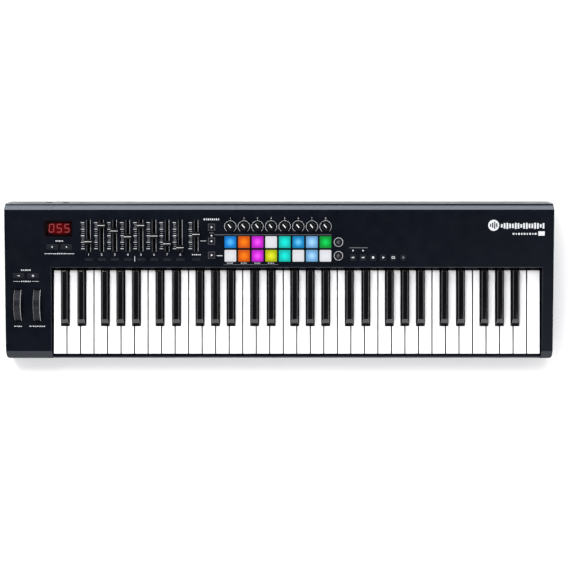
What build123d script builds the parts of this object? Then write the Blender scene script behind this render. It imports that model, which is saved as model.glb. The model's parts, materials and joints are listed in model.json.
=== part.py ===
from build123d import *
import os
from math import cos, radians, sin, tan

# A controller keyboard with 61 keys, 16 pads, 8 knobs, 9 faders, 2 wheels and a small display.
# Frame: +X to the player's right, +Y to the rear, +Z up. The origin is on the surface that the
# feet stand on, under the middle of the case. All sizes are in millimetres, all angles in degrees.

# ---- case ----
CASE_LENGTH = 950.0
CASE_DEPTH = 274.0
CORNER_RADIUS = 5.0
WALL = 2.5
FOOT_HEIGHT = 3.0
FOOT_RADIUS = 9.0
PARTING_HEIGHT = 14.0  # where the top case meets the bottom case
PANEL_ANGLE = 4.2  # the control panel rises to the rear
PANEL_HEIGHT = 57.5  # the panel's face over the middle of the origin
FRONT_EDGE = -CASE_DEPTH / 2
REAR_EDGE = CASE_DEPTH / 2
FRONT_BEVEL = 12.6  # depth of the slope down to the front
FRONT_FACE_TOP = 36.5
REAR_BEVEL_START = 120.4
REAR_BEVEL_END = 127.6
REAR_BEVEL_LOW = 61.5
SHELF_TOP = 56.2  # narrow step behind the rear bevel
SHELF_END = 131.4
REAR_PANEL_TOP = 54.3
REAR_PANEL_LOW = 22.0
REAR_PANEL_HALF_LENGTH = 469.0
FLOOR = FOOT_HEIGHT + WALL  # inner face of the bottom case
BASE_BEVEL = 5.0  # along the lower edges of the bottom case
FOOT_TAPER = 8.0
OVERLAP = 1.0  # how far joined volumes run into each other, and cutters past a face
THROUGH = 90.0  # taller than the whole case, for cuts right through it

# ---- keys ----
KEY_PITCH = 23.5
OCTAVES = 5
OCTAVE = 7 * KEY_PITCH
KEYS_LEFT = -392.5
KEYS_RIGHT = KEYS_LEFT + (7 * OCTAVES + 1) * KEY_PITCH
KEY_GAP = 1.1
WHITE_TOP = 47.5
WHITE_HEIGHT = 18.0
WHITE_FRONT = -128.7
BLACK_CENTRES = (20.8, 49.5, 90.3, 117.3, 144.3)  # from the octave's left edge
BLACK_HEIGHT = 11.0  # over the white keys
BLACK_FRONT = -80.0
BLACK_FRONT_TOP = -70.5
BLACK_BASE_WIDTH = 14.0
BLACK_TOP_WIDTH = 9.8
BLACK_STEM_WIDTH = 12.4
BLACK_SKIRT = 2.0  # how far the wide base reaches below the white keys' tops
SIDE_CLEARANCE = 0.8  # between a black key and the white keys beside it
KEY_BACK = 15.0  # where the full-height part of a key ends
KEY_SKIN = 2.2
KEY_ROOF = 3.0
TAIL_WIDTH = 9.0
TAIL_END = 56.0
TAIL_LOW = 32.0
TAIL_HIGH = 42.0
PIVOT_Y = 50.0
PIVOT_Z = 37.0
PIVOT_RADIUS = 1.5
PIVOT_CLEARANCE = 0.1
KEY_DIP_ANGLE = 3.2
PLUNGER_Y = -25.0
PLUNGER_RADIUS = 2.2
PLUNGER_GAP = 0.3  # between a plunger and its dome when the key is pressed
WHITE_HEAD_GAP = 1.2  # between a white key's head and the front of the black keys
BLACK_STEM_SETBACK = 2.0
BLACK_CAP_THICKNESS = 4.0

# ---- key opening in the top case ----
OPENING_CLEARANCE = 2.2
OPENING_BACK = 20.2
FRONT_LIP_TOP = 30.0
FRONT_LIP_DEPTH = 7.5
FRONT_LIP_ROUND = 3.0
PROFILE_ROUND = 1.6  # along the case's long edges
OPENING_ROUND = 1.8  # around the key opening's upper edge
REAR_LIP_HEIGHT = 8.0  # the wall that hangs from the panel behind the keys
CHEEK_WALL_RISE = 30.0  # the cheeks' inner walls are cut away below this at the back
CHEEK_WALL_SLOPE = 20.0

# ---- keybed ----
FRAME_BASE = 8.0
FRAME_TOP = 10.0
BOARD_THICKNESS = 1.6
CONTACT_BOARD_TOP = 16.0
DOME_TOP = 21.0
FELT_THICKNESS = 2.0
FRONT_STOP_TOP = 18.0
FRAME_FRONT = -124.0
FRAME_BACK = TAIL_END + 2
FRONT_STOP = (-118.0, -106.0)  # front and back of the rail that stops the white keys
BOARD_RAILS = ((-38.0, -35.0), (-13.0, -10.0))
REAR_STOP_FRONT = 52.0
CONTACT_BOARD = (-40.0, -8.0)
DOME_STRIP = (12.0, 1.0)  # width and thickness of the sheet that the domes are part of
DOME_RADII = (4.6, 3.0)
FIN_WIDTH = 2.0

# ---- panel controls: x, and the distance v up the panel's slope from over the origin ----
FADER_COLUMNS = [-329.3 + 22.65 * i for i in range(8)] + [-143.3]
FADER_MIDDLE = 75.8
FADER_TRAVEL = 45.0
FADER_SETTINGS = (0.28, 0.90, 0.69, 0.47, 0.90, 0.50, 0.20, 0.05, 0.56)  # of the travel, at rest
FADER_SLOT_LENGTH = 54.0
FADER_SLOT_WIDTH = 4.6
FADER_CAP = (13.0, 9.0, 12.0)  # width, length, height
FADER_CAP_LOW = 0.8
FADER_CAP_SLOPE = 0.8  # how much each end leans in towards the top
FADER_CAP_HOLLOW = 2.2
FADER_STEM = (1.4, 4.0, 6.0)
KNOB_COLUMNS = [-84.5 + 23.5 * i for i in range(8)]
KNOB_ROW = 91.7
KNOB_BASE_RADIUS = 7.0
KNOB_TOP_RADIUS = 5.7
KNOB_HEIGHT = 12.8
KNOB_SHAFT_RADIUS = 3.0
KNOB_SHAFT_DEPTH = 8.0
KNOB_LOW = 0.7
KNOB_ROUND = 0.8
KNOB_POINTER = (1.2, 0.5)  # width and depth of the groove
KNOB_REST_ANGLE = 37.0  # the pointer is turned this far left of straight back
PAD_ROWS = {"upper": 64.7, "lower": 41.0}
PAD_SIDE = 20.7
PAD_CORNER = 1.6
PAD_RISE = 2.0
PAD_TRAVEL = 1.0
BUTTON_RISE = 0.8
BUTTON_TRAVEL = 0.8
BUTTON_GAP = 0.35
BUTTON_DEPTH = 4.5  # from the panel's face to a button's underside
SWITCH_GAP = 0.2  # between a switch and a button or pad pressed right down
BUTTON_SWITCH = 4.0
PAD_SWITCH = 5.0
DISPLAY_CENTRE = (-380.4, 87.9)
DISPLAY_SIZE = (45.0, 24.0)
DISPLAY_GAP = 0.1
DISPLAY_WINDOW = (0.2, 2.2)  # depths of the window's outer and inner face
DISPLAY_MODULE_DEPTH = 2.4
DISPLAY_MODULE_INSET = 2.0
CONTROL_BOARD_DEPTH = 9.0  # from the panel's face to the board's upper face
CONTROL_BOARD = (-410.0, 226.0, 29.5, 112.5)  # left, right, low and high edges
OCTAVE_BOARD = (-467.6, -409.6, -2.5, 15.5)
POT_TOP_DEPTH = WALL + 0.6  # from the panel's face to the potentiometers' upper faces
SLIDE_POT = (9.0, 66.0)
SLIDE_POT_GROOVE = (2.4, FADER_TRAVEL + 6, 4.5)
ROTARY_POT = 12.0
ROTARY_POT_FLOOR = 0.6
SHAFT_CLEARANCE = 0.05

# ---- wheels ----
WHEEL_COLUMNS = {"pitch_wheel": -453.4, "mod_wheel": -420.0}
WHEEL_V = -45.2
WHEEL_DEPTH = 27.0  # from the panel's face to the axle
WHEEL_RADIUS = 37.5
WHEEL_WIDTH = 13.0
WHEEL_HUB_RADIUS = 8.0
WHEEL_SECTOR_HALF_ANGLE = 80.0
WHEEL_AXLE_RADIUS = 2.0
WHEEL_NOTCH_RADIUS = 16.0
WHEEL_NOTCH_DEPTH = 2.8
WHEEL_RIM = 1.4  # thickness of the full rim on either side of the notch
WHEEL_SLOT = (14.6, 58.0)
BRACKET_PLATE = 2.0
BRACKET_GAP = 2.0  # between a wheel's side and the plate beside it
BRACKET_FOOT = (-70.0, -20.0, 3.0)  # front, back and thickness
BRACKET_REACH = (7.0, 6.0)  # of each plate around the axle, along Y and upwards

# ---- ports in the rear panel ----
PORT_BOARD_TOP = 29.6
USB_X = -401.5
USB_OUTER = (12.0, 11.0)
USB_INNER = (8.5, 7.8)
USB_TONGUE = (5.6, 3.2)
JACK_X = -372.0
JACK_Z = 36.5
JACK_BORE_RADIUS = 3.25
JACK_NOSE_RADIUS = 5.0
LOCK_SLOT_X = -344.5
LOCK_SLOT = (7.0, 3.0)
PORT_DEPTH = 26.0
PORT_FACE = 133.8  # where the sockets' noses end
PORT_GAP = 0.2
PORT_CUT = 16.0
PORT_BOARD = (USB_X - 25, LOCK_SLOT_X + 60, 92.0, 126.0)
USB_LENGTH = 16.0
USB_CAVITY = 9.0
JACK_NOSE = 7.0
JACK_BODY = (7.5, 7.0)  # half width, and height over the bore
JACK_END_WALL = 2.0

# ---- fasteners ----
SCREW_RADIUS = 1.5
SCREW_HEAD_RADIUS = 3.0
SCREW_HEAD_HEIGHT = 2.0
BOSS_RADIUS = 4.0
POST_TOP_GAP = 1.5  # the posts end in the panel's thickness
POST_HOLE = 9.0
CASE_SCREW_LENGTH = 18.0
SCREW_RECESS = (3.2, 0.7, 1.2)
KEYBED_RIBS = (-100.0, -45.0, 30.0)
RIB_WIDTH = 2.0
CASE_SCREWS = [(x, 118.0) for x in (-440, -220, 0, 220, 440)]
CASE_SCREWS += [(-458.0, -112.0), (-408.0, -112.0), (464.5, -112.0), (464.5, 0.0)]
KEYBED_SCREWS = [(x, -75.0) for x in (-300, -100, 100, 300)]
FOOT_PLACES = [(x, y) for x in (-430, -140, 140, 430) for y in (-95, 100)]

PANEL = Plane(
    origin=(0, 0, PANEL_HEIGHT),
    x_dir=(1, 0, 0),
    z_dir=(0, -sin(radians(PANEL_ANGLE)), cos(radians(PANEL_ANGLE))),
)
PIVOT_LINE = Plane(origin=(KEYS_LEFT, PIVOT_Y, PIVOT_Z), x_dir=(0, 1, 0), z_dir=(1, 0, 0))


def panel_z(y):
    """Height of the panel's face at y."""
    return PANEL_HEIGHT + y * tan(radians(PANEL_ANGLE))


def finish(piece, label):
    """Names a finished sub-part and writes its file."""
    piece.part.label = label
    export_step(piece.part, f"parts/{label}.step")


# ------------------------------------------------------------------ where the controls are
def buttons(columns, row, width, length, corner=1.0):
    """Rectangular buttons in a row on the panel, as (x, v, width, length, corner radius)."""
    return [(x, row, width, length, corner) for x in columns]


TRANSPORT_COLUMNS = [127.6 + 17.4 * i for i in range(6)]
BUTTON_GROUPS = {
    "fader_buttons": buttons(FADER_COLUMNS, 34.7, 14.2, 4.8, 0.8),
    "transport_buttons": buttons(TRANSPORT_COLUMNS[:5], 38.1, 11.0, 11.0, 1.2)
    + buttons(TRANSPORT_COLUMNS[5:], 38.1, 11.0, 11.0, 5.4),
    "track_buttons": buttons((-392.5, -367.8), 56.3, 20.0, 9.0),
    "octave_buttons": buttons((-451.0, -426.2), 6.5, 20.0, 9.0),
    "scene_buttons": [(102.5, row, 14.2, 14.2, 7.0) for row in PAD_ROWS.values()],
    "page_buttons": [(-117.0, row, 10.6, 10.6, 0.8) for row in (90.5, 66.3, 42.1)],
}


def button_outlines(group, growth=0.0):
    """Draws a group's outlines in the current sketch, each grown by the same margin all round."""
    for x, v, width, length, corner in BUTTON_GROUPS[group]:
        with Locations((x, v)):
            RectangleRounded(width + 2 * growth, length + 2 * growth, corner + growth)


def pad_places(row):
    return [(x, PAD_ROWS[row]) for x in KNOB_COLUMNS]


# ------------------------------------------------------------------ case
def case_side(bottom):
    """Outline of the upper case seen from the side, closed at the given bottom height."""
    Polyline(
        (FRONT_EDGE, bottom),
        (FRONT_EDGE, FRONT_FACE_TOP),
        (FRONT_EDGE + FRONT_BEVEL, panel_z(FRONT_EDGE + FRONT_BEVEL)),
        (REAR_BEVEL_START, panel_z(REAR_BEVEL_START)),
        (REAR_BEVEL_END, REAR_BEVEL_LOW),
        (REAR_BEVEL_END, SHELF_TOP),
        (SHELF_END, SHELF_TOP),
        (SHELF_END, REAR_PANEL_TOP),
        (REAR_EDGE, REAR_PANEL_LOW),
        (REAR_EDGE, bottom),
        close=True,
    )


def box_between(low, high, mode=Mode.ADD):
    """A box between two opposite corners, in the current part."""
    size = [b - a for a, b in zip(low, high)]
    middle = tuple((a + b) / 2 for a, b in zip(low, high))
    with Locations(middle):
        Box(*size, mode=mode)


def make_top_case():
    inner_length = CASE_LENGTH - 2 * WALL
    left, right = KEYS_LEFT - OPENING_CLEARANCE, KEYS_RIGHT + OPENING_CLEARANCE
    with BuildPart() as top_case:
        with BuildSketch(Plane.YZ) as side_view:
            with BuildLine():
                case_side(PARTING_HEIGHT)
            make_face()
            along_top = side_view.vertices().sort_by(Axis.Y)[-4:]
            fillet(along_top, PROFILE_ROUND)
        extrude(amount=CASE_LENGTH / 2, both=True)
        with BuildSketch(Plane.XY.offset(PARTING_HEIGHT)):
            RectangleRounded(CASE_LENGTH, CASE_DEPTH, CORNER_RADIUS)
        extrude(amount=THROUGH, mode=Mode.INTERSECT)
        with BuildSketch(Plane.YZ):
            with BuildLine():
                case_side(PARTING_HEIGHT - 2 * WALL)
            make_face()
            offset(amount=-WALL, kind=Kind.INTERSECTION)
        extrude(amount=inner_length / 2, both=True, mode=Mode.SUBTRACT)
        # opening for the rear panel
        box_between(
            (-REAR_PANEL_HALF_LENGTH, SHELF_END - 2 * WALL - OVERLAP, REAR_PANEL_LOW),
            (REAR_PANEL_HALF_LENGTH, REAR_EDGE + OVERLAP, REAR_PANEL_TOP),
            Mode.SUBTRACT,
        )
        # inner walls of the key opening: both cheeks and the rear lip under the panel
        for near, far in ((left - WALL, left), (right, right + WALL)):
            with BuildSketch(Plane.YZ.offset(near)):
                with BuildLine():
                    Polyline(
                        (FRONT_EDGE + WALL, PARTING_HEIGHT),
                        (FRONT_EDGE + WALL, FRONT_FACE_TOP - OVERLAP),
                        (FRONT_EDGE + FRONT_BEVEL, panel_z(FRONT_EDGE + FRONT_BEVEL) - OVERLAP),
                        (OPENING_BACK + WALL, panel_z(OPENING_BACK) - OVERLAP),
                        (OPENING_BACK + WALL, PARTING_HEIGHT + CHEEK_WALL_RISE),
                        (OPENING_BACK - CHEEK_WALL_SLOPE, PARTING_HEIGHT),
                        close=True,
                    )
                make_face()
            extrude(amount=far - near)
        lip_low = panel_z(OPENING_BACK) - REAR_LIP_HEIGHT
        box_between(
            (left - WALL, OPENING_BACK, lip_low),
            (right + WALL, OPENING_BACK + WALL, panel_z(OPENING_BACK) - OVERLAP),
        )
        # the opening itself, and the front lip below the keys
        box_between(
            (left, FRONT_EDGE - OVERLAP, FRONT_LIP_TOP),
            (right, OPENING_BACK, THROUGH),
            Mode.SUBTRACT,
        )
        box_between(
            (left, FRONT_EDGE + OVERLAP, FRONT_LIP_TOP - WALL),
            (right, FRONT_EDGE + FRONT_LIP_DEPTH, FRONT_LIP_TOP),
        )
        lip_edge = (
            top_case.edges()
            .filter_by(Axis.X)
            .filter_by_position(Axis.Y, FRONT_EDGE - 0.1, FRONT_EDGE + 0.1)
            .filter_by_position(Axis.Z, FRONT_LIP_TOP - 0.1, FRONT_LIP_TOP + 0.1)
        )
        fillet(lip_edge, FRONT_LIP_ROUND)
        # soft edge around the opening, where it meets the panel
        panel_edges = top_case.edges().filter_by(
            lambda edge: abs(PANEL.to_local_coords(edge @ 0.5).Z) < 0.01
            and left - 0.1 < (edge @ 0.5).X < right + 0.1
            and (edge @ 0.5).Y < OPENING_BACK + 0.1
        )
        fillet(panel_edges, OPENING_ROUND)
        # holes in the panel for the controls
        with BuildSketch(PANEL.offset(OVERLAP)):
            with Locations(DISPLAY_CENTRE):
                Rectangle(DISPLAY_SIZE[0] + 2 * DISPLAY_GAP, DISPLAY_SIZE[1] + 2 * DISPLAY_GAP)
            with Locations([(x, FADER_MIDDLE) for x in FADER_COLUMNS]):
                Rectangle(FADER_SLOT_WIDTH, FADER_SLOT_LENGTH)
            with Locations([(x, KNOB_ROW) for x in KNOB_COLUMNS]):
                Circle(KNOB_SHAFT_RADIUS + OVERLAP)
            for row in PAD_ROWS:
                with Locations(pad_places(row)):
                    hole = PAD_SIDE + 2 * BUTTON_GAP
                    RectangleRounded(hole, hole, PAD_CORNER + BUTTON_GAP)
            for group in BUTTON_GROUPS:
                button_outlines(group, BUTTON_GAP)
            with Locations([(x, WHEEL_V) for x in WHEEL_COLUMNS.values()]):
                Rectangle(*WHEEL_SLOT)
        extrude(amount=-(2 * OVERLAP + 2 * WALL), mode=Mode.SUBTRACT)
        # posts that the case screws bite into
        for x, y in CASE_SCREWS:
            post_top = panel_z(y) - POST_TOP_GAP
            with BuildSketch(Plane.XY.offset(PARTING_HEIGHT)):
                with Locations((x, y)):
                    Circle(BOSS_RADIUS)
            extrude(amount=post_top - PARTING_HEIGHT)
        with BuildSketch(Plane.XY.offset(PARTING_HEIGHT)):
            with Locations(CASE_SCREWS):
                Circle(SCREW_RADIUS)
        extrude(amount=POST_HOLE, mode=Mode.SUBTRACT)
    finish(top_case, "top_case")


def make_bottom_case():
    half = CASE_DEPTH / 2
    with BuildPart() as bottom_case:
        with BuildSketch(Plane.YZ):
            with BuildLine():
                Polyline(
                    (-half, PARTING_HEIGHT),
                    (-half, FOOT_HEIGHT + BASE_BEVEL),
                    (BASE_BEVEL - half, FOOT_HEIGHT),
                    (half - BASE_BEVEL, FOOT_HEIGHT),
                    (half, FOOT_HEIGHT + BASE_BEVEL),
                    (half, PARTING_HEIGHT),
                    close=True,
                )
            make_face()
        extrude(amount=CASE_LENGTH / 2, both=True)
        with BuildSketch(Plane.XY.offset(FOOT_HEIGHT)):
            RectangleRounded(CASE_LENGTH, CASE_DEPTH, CORNER_RADIUS)
        extrude(amount=PARTING_HEIGHT - FOOT_HEIGHT, mode=Mode.INTERSECT)
        with BuildSketch(Plane.XY.offset(FLOOR)):
            RectangleRounded(CASE_LENGTH - 4 * WALL, CASE_DEPTH - 4 * WALL, CORNER_RADIUS)
        extrude(amount=PARTING_HEIGHT, mode=Mode.SUBTRACT)
        # ribs that carry the keybed, and posts for the screws
        for y in KEYBED_RIBS:
            box_between(
                (KEYS_LEFT, y - RIB_WIDTH / 2, FLOOR), (KEYS_RIGHT, y + RIB_WIDTH / 2, FRAME_BASE)
            )
        with BuildSketch(Plane.XY.offset(FLOOR)):
            with Locations(CASE_SCREWS):
                Circle(BOSS_RADIUS)
        extrude(amount=PARTING_HEIGHT - FLOOR)
        with BuildSketch(Plane.XY.offset(FLOOR)):
            with Locations(KEYBED_SCREWS):
                Circle(BOSS_RADIUS)
        extrude(amount=FRAME_BASE - FLOOR)
        with BuildSketch(Plane.XY.offset(FOOT_HEIGHT)):
            with Locations(CASE_SCREWS + KEYBED_SCREWS):
                Circle(SCREW_RADIUS)
        extrude(amount=PARTING_HEIGHT, mode=Mode.SUBTRACT)
        with BuildSketch(Plane.XY.offset(FOOT_HEIGHT)):
            with Locations(CASE_SCREWS + KEYBED_SCREWS):
                Circle(SCREW_HEAD_RADIUS)
        extrude(amount=SCREW_HEAD_HEIGHT, mode=Mode.SUBTRACT)
    finish(bottom_case, "bottom_case")


def make_rear_panel():
    with BuildPart() as rear_panel:
        with BuildSketch(Plane.YZ):
            with BuildLine():
                Polyline(
                    (SHELF_END, REAR_PANEL_TOP),
                    (REAR_EDGE, REAR_PANEL_LOW),
                    (REAR_EDGE - WALL, REAR_PANEL_LOW),
                    (SHELF_END - WALL, REAR_PANEL_TOP),
                    close=True,
                )
            make_face()
        extrude(amount=REAR_PANEL_HALF_LENGTH, both=True)
        usb_middle = PORT_BOARD_TOP + USB_OUTER[1] / 2
        with BuildSketch(Plane.XZ.offset(-REAR_EDGE - OVERLAP)):
            with Locations((USB_X, usb_middle)):
                Rectangle(USB_OUTER[0] + 2 * PORT_GAP, USB_OUTER[1] + 2 * PORT_GAP)
            with Locations((JACK_X, JACK_Z)):
                Circle(JACK_NOSE_RADIUS + PORT_GAP)
            with Locations((LOCK_SLOT_X, JACK_Z)):
                SlotOverall(*LOCK_SLOT)
        extrude(amount=PORT_CUT, mode=Mode.SUBTRACT)
    finish(rear_panel, "rear_panel")


def make_feet_and_screws():
    with BuildPart() as rubber_feet:
        with BuildSketch(Plane.XY):
            with Locations(FOOT_PLACES):
                Circle(FOOT_RADIUS)
        extrude(amount=FOOT_HEIGHT, taper=FOOT_TAPER)
    finish(rubber_feet, "rubber_feet")

    with BuildPart() as case_screws:
        with BuildSketch(Plane.XY.offset(FOOT_HEIGHT)):
            with Locations(CASE_SCREWS + KEYBED_SCREWS):
                Circle(SCREW_HEAD_RADIUS)
        extrude(amount=SCREW_HEAD_HEIGHT)
        with BuildSketch(Plane.XY.offset(FOOT_HEIGHT)):
            with Locations(CASE_SCREWS):
                Circle(SCREW_RADIUS)
        extrude(amount=CASE_SCREW_LENGTH)
        with BuildSketch(Plane.XY.offset(FOOT_HEIGHT)):
            with Locations(KEYBED_SCREWS):
                Circle(SCREW_RADIUS)
        extrude(amount=FRAME_TOP - FOOT_HEIGHT)
        # cross recess in each head
        with BuildSketch(Plane.XY.offset(FOOT_HEIGHT)):
            with Locations(CASE_SCREWS + KEYBED_SCREWS):
                Rectangle(SCREW_RECESS[0], SCREW_RECESS[1])
                Rectangle(SCREW_RECESS[1], SCREW_RECESS[0])
        extrude(amount=SCREW_RECESS[2], mode=Mode.SUBTRACT)
    finish(case_screws, "case_screws")


# ------------------------------------------------------------------ keys
def white_cell(octave, step):
    """Left and right edges of a white key's stem between the black keys, and of its head."""
    left = KEYS_LEFT + octave * OCTAVE + step * KEY_PITCH
    right = left + KEY_PITCH
    stem_left, stem_right = left + KEY_GAP / 2, right - KEY_GAP / 2
    if octave < OCTAVES:
        reach = BLACK_BASE_WIDTH / 2 + SIDE_CLEARANCE
        for centre in black_centres(octave):
            if left - reach < centre < left + KEY_PITCH / 2:
                stem_left = max(stem_left, centre + reach)
            if left + KEY_PITCH / 2 < centre < right + reach:
                stem_right = min(stem_right, centre - reach)
    return left, right, stem_left, stem_right


def black_centres(octave):
    return [KEYS_LEFT + octave * OCTAVE + centre for centre in BLACK_CENTRES]


def white_centres(octave, steps):
    """Middle of each white key's stem, where its tail and its plunger are."""
    cells = [white_cell(octave, step) for step in steps]
    return [(stem_left + stem_right) / 2 for _, _, stem_left, stem_right in cells]


def key_tails(centres, roof):
    """Adds the tails, plungers and pivot holes of the keys in the current part.

    The plungers hang from the inside of the keys' roof, at the given height.
    """
    plunger_low = DOME_TOP + PLUNGER_GAP + (PIVOT_Y - PLUNGER_Y) * sin(radians(KEY_DIP_ANGLE))
    for x in centres:
        box_between(
            (x - TAIL_WIDTH / 2, KEY_BACK - OVERLAP, TAIL_LOW),
            (x + TAIL_WIDTH / 2, TAIL_END, TAIL_HIGH),
        )
    with Locations([(x, PLUNGER_Y, plunger_low) for x in centres]):
        Cylinder(
            PLUNGER_RADIUS,
            roof + OVERLAP / 2 - plunger_low,
            align=(Align.CENTER, Align.CENTER, Align.MIN),
        )
    with Locations(((KEYS_LEFT + KEYS_RIGHT) / 2, PIVOT_Y, PIVOT_Z)):
        Cylinder(
            PIVOT_RADIUS + PIVOT_CLEARANCE,
            KEYS_RIGHT - KEYS_LEFT + 2 * OVERLAP,
            rotation=(0, 90, 0),
            mode=Mode.SUBTRACT,
        )


def white_outlines(cells, inset=0.0):
    """Plan outlines of white keys: a full-width head, and a narrower stem between black keys."""
    head_back = BLACK_FRONT - WHITE_HEAD_GAP
    for left, right, stem_left, stem_right in cells:
        half_gap = KEY_GAP / 2 + inset
        head_width = right - left - 2 * half_gap
        head_length = head_back - WHITE_FRONT - 2 * inset
        with Locations(((left + right) / 2, WHITE_FRONT + inset + head_length / 2)):
            Rectangle(head_width, head_length)
        stem_front = head_back - 2 * inset - OVERLAP
        stem_length = KEY_BACK - inset - stem_front
        with Locations(((stem_left + stem_right) / 2, stem_front + stem_length / 2)):
            Rectangle(stem_right - stem_left - 2 * inset, stem_length)


def make_white_keys(octave, steps, label):
    """Some of an octave's white keys: thin shells, open below, on tails with a common pivot."""
    cells = [white_cell(octave + step // 7, step % 7) for step in steps]
    centres = [(stem_left + stem_right) / 2 for _, _, stem_left, stem_right in cells]
    with BuildPart() as white_keys:
        with BuildSketch(Plane.XY.offset(WHITE_TOP - WHITE_HEIGHT)):
            white_outlines(cells)
        extrude(amount=WHITE_HEIGHT)
        with BuildSketch(Plane.XY.offset(WHITE_TOP - WHITE_HEIGHT)):
            white_outlines(cells, KEY_SKIN)
        extrude(amount=WHITE_HEIGHT - KEY_ROOF, mode=Mode.SUBTRACT)
        key_tails(centres, WHITE_TOP - KEY_ROOF)
    finish(white_keys, label)


def make_black_keys(octave, label):
    """An octave's five black keys: tapered caps on narrower stems, hollow from below."""
    centres = black_centres(octave)
    black_top = WHITE_TOP + BLACK_HEIGHT
    cap_low = WHITE_TOP - BLACK_SKIRT
    cap_roof = cap_low + BLACK_CAP_THICKNESS
    with BuildPart() as black_keys:
        for x in centres:
            with BuildSketch(Plane.XY.offset(cap_low)):
                with Locations((x, (BLACK_FRONT + KEY_BACK) / 2)):
                    Rectangle(BLACK_BASE_WIDTH, KEY_BACK - BLACK_FRONT)
            with BuildSketch(Plane.XY.offset(black_top)):
                with Locations((x, (BLACK_FRONT_TOP + KEY_BACK) / 2)):
                    Rectangle(BLACK_TOP_WIDTH, KEY_BACK - BLACK_FRONT_TOP)
            loft()
        stem_front = BLACK_FRONT + BLACK_STEM_SETBACK
        with BuildSketch(Plane.XY.offset(TAIL_LOW)):
            with Locations([(x, (stem_front + KEY_BACK) / 2) for x in centres]):
                Rectangle(BLACK_STEM_WIDTH, KEY_BACK - stem_front)
        extrude(amount=cap_low - TAIL_LOW)
        with BuildSketch(Plane.XY.offset(TAIL_LOW)):
            with Locations([(x, (stem_front + KEY_BACK) / 2) for x in centres]):
                Rectangle(
                    BLACK_STEM_WIDTH - 2 * KEY_SKIN, KEY_BACK - stem_front - 2 * KEY_SKIN
                )
        extrude(amount=cap_roof - TAIL_LOW, mode=Mode.SUBTRACT)
        key_tails(centres, cap_roof)
    finish(black_keys, label)


def make_keys():
    for octave in range(OCTAVES):
        number = octave + 1
        last = (7,) if number == OCTAVES else ()
        make_white_keys(octave, (0, 2, 4, 6) + last, f"white_keys_ceg_{number}")
        make_white_keys(octave, (1, 3, 5), f"white_keys_dfa_{number}")
        make_black_keys(octave, f"black_keys_{number}")


def all_key_centres():
    centres = []
    for octave in range(OCTAVES):
        centres += black_centres(octave) + white_centres(octave, range(7))
    return centres + white_centres(OCTAVES, (0,))


# ------------------------------------------------------------------ keybed
def make_keybed():
    length = KEYS_RIGHT - KEYS_LEFT
    middle = (KEYS_LEFT + KEYS_RIGHT) / 2
    board_low = CONTACT_BOARD_TOP - BOARD_THICKNESS
    rear_stop_top = TAIL_LOW - FELT_THICKNESS
    rails = [
        (FRAME_FRONT, FRAME_BACK, FRAME_BASE, FRAME_TOP),
        (*FRONT_STOP, FRAME_TOP, FRONT_STOP_TOP),
        (REAR_STOP_FRONT, FRAME_BACK, FRAME_TOP, rear_stop_top),
    ]
    rails += [(front, back, FRAME_TOP, board_low) for front, back in BOARD_RAILS]
    fins = [KEYS_LEFT + OCTAVE * i for i in range(1, OCTAVES + 1)]
    fins += [KEYS_LEFT + OCTAVE * i + 3 * KEY_PITCH for i in range(OCTAVES)]
    fins += [KEYS_LEFT + FIN_WIDTH / 2, KEYS_RIGHT - FIN_WIDTH / 2]
    with BuildPart() as keybed_frame:
        with BuildSketch(Plane.YZ.offset(KEYS_LEFT)):
            for front, back, low, high in rails:
                with Locations(((front + back) / 2, (low + high) / 2)):
                    Rectangle(back - front, high - low)
        extrude(amount=length)
        for x in fins:
            box_between(
                (x - FIN_WIDTH / 2, PIVOT_Y - 2 * FIN_WIDTH, FRAME_TOP),
                (x + FIN_WIDTH / 2, TAIL_END - OVERLAP, PIVOT_Z + 2 * FIN_WIDTH),
            )
        with BuildSketch(PIVOT_LINE):
            Circle(PIVOT_RADIUS)
        extrude(amount=length, mode=Mode.SUBTRACT)
        with BuildSketch(Plane.XY.offset(FRAME_BASE)):
            with Locations(KEYBED_SCREWS):
                Circle(SCREW_RADIUS)
        extrude(amount=FRAME_TOP - FRAME_BASE, mode=Mode.SUBTRACT)
    finish(keybed_frame, "keybed_frame")

    with BuildPart() as key_pivot_rod:
        with BuildSketch(PIVOT_LINE):
            Circle(PIVOT_RADIUS)
        extrude(amount=length)
    finish(key_pivot_rod, "key_pivot_rod")

    with BuildPart() as key_contact_board:
        box_between(
            (KEYS_LEFT + FIN_WIDTH, CONTACT_BOARD[0], board_low),
            (KEYS_RIGHT - FIN_WIDTH, CONTACT_BOARD[1], CONTACT_BOARD_TOP),
        )
    finish(key_contact_board, "key_contact_board")

    with BuildPart() as key_domes:
        strip_width, strip_thickness = DOME_STRIP
        with Locations((middle, PLUNGER_Y, CONTACT_BOARD_TOP + strip_thickness / 2)):
            Box(length - 3 * FIN_WIDTH, strip_width, strip_thickness)
        dome_height = DOME_TOP - CONTACT_BOARD_TOP
        dome_middle = (CONTACT_BOARD_TOP + DOME_TOP) / 2
        with Locations([(x, PLUNGER_Y, dome_middle) for x in all_key_centres()]):
            Cone(*DOME_RADII, dome_height)
    finish(key_domes, "key_domes")

    with BuildPart() as key_felts:
        box_between(
            (KEYS_LEFT, FRONT_STOP[0], FRONT_STOP_TOP),
            (KEYS_RIGHT, FRONT_STOP[1], FRONT_STOP_TOP + FELT_THICKNESS),
        )
        # the rear felt ends just under the tails of the keys at rest
        box_between(
            (KEYS_LEFT + FIN_WIDTH + 0.5, TAIL_END - 0.8, rear_stop_top),
            (KEYS_RIGHT - FIN_WIDTH - 0.5, FRAME_BACK, TAIL_LOW - 0.1),
        )
    finish(key_felts, "key_felts")


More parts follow.
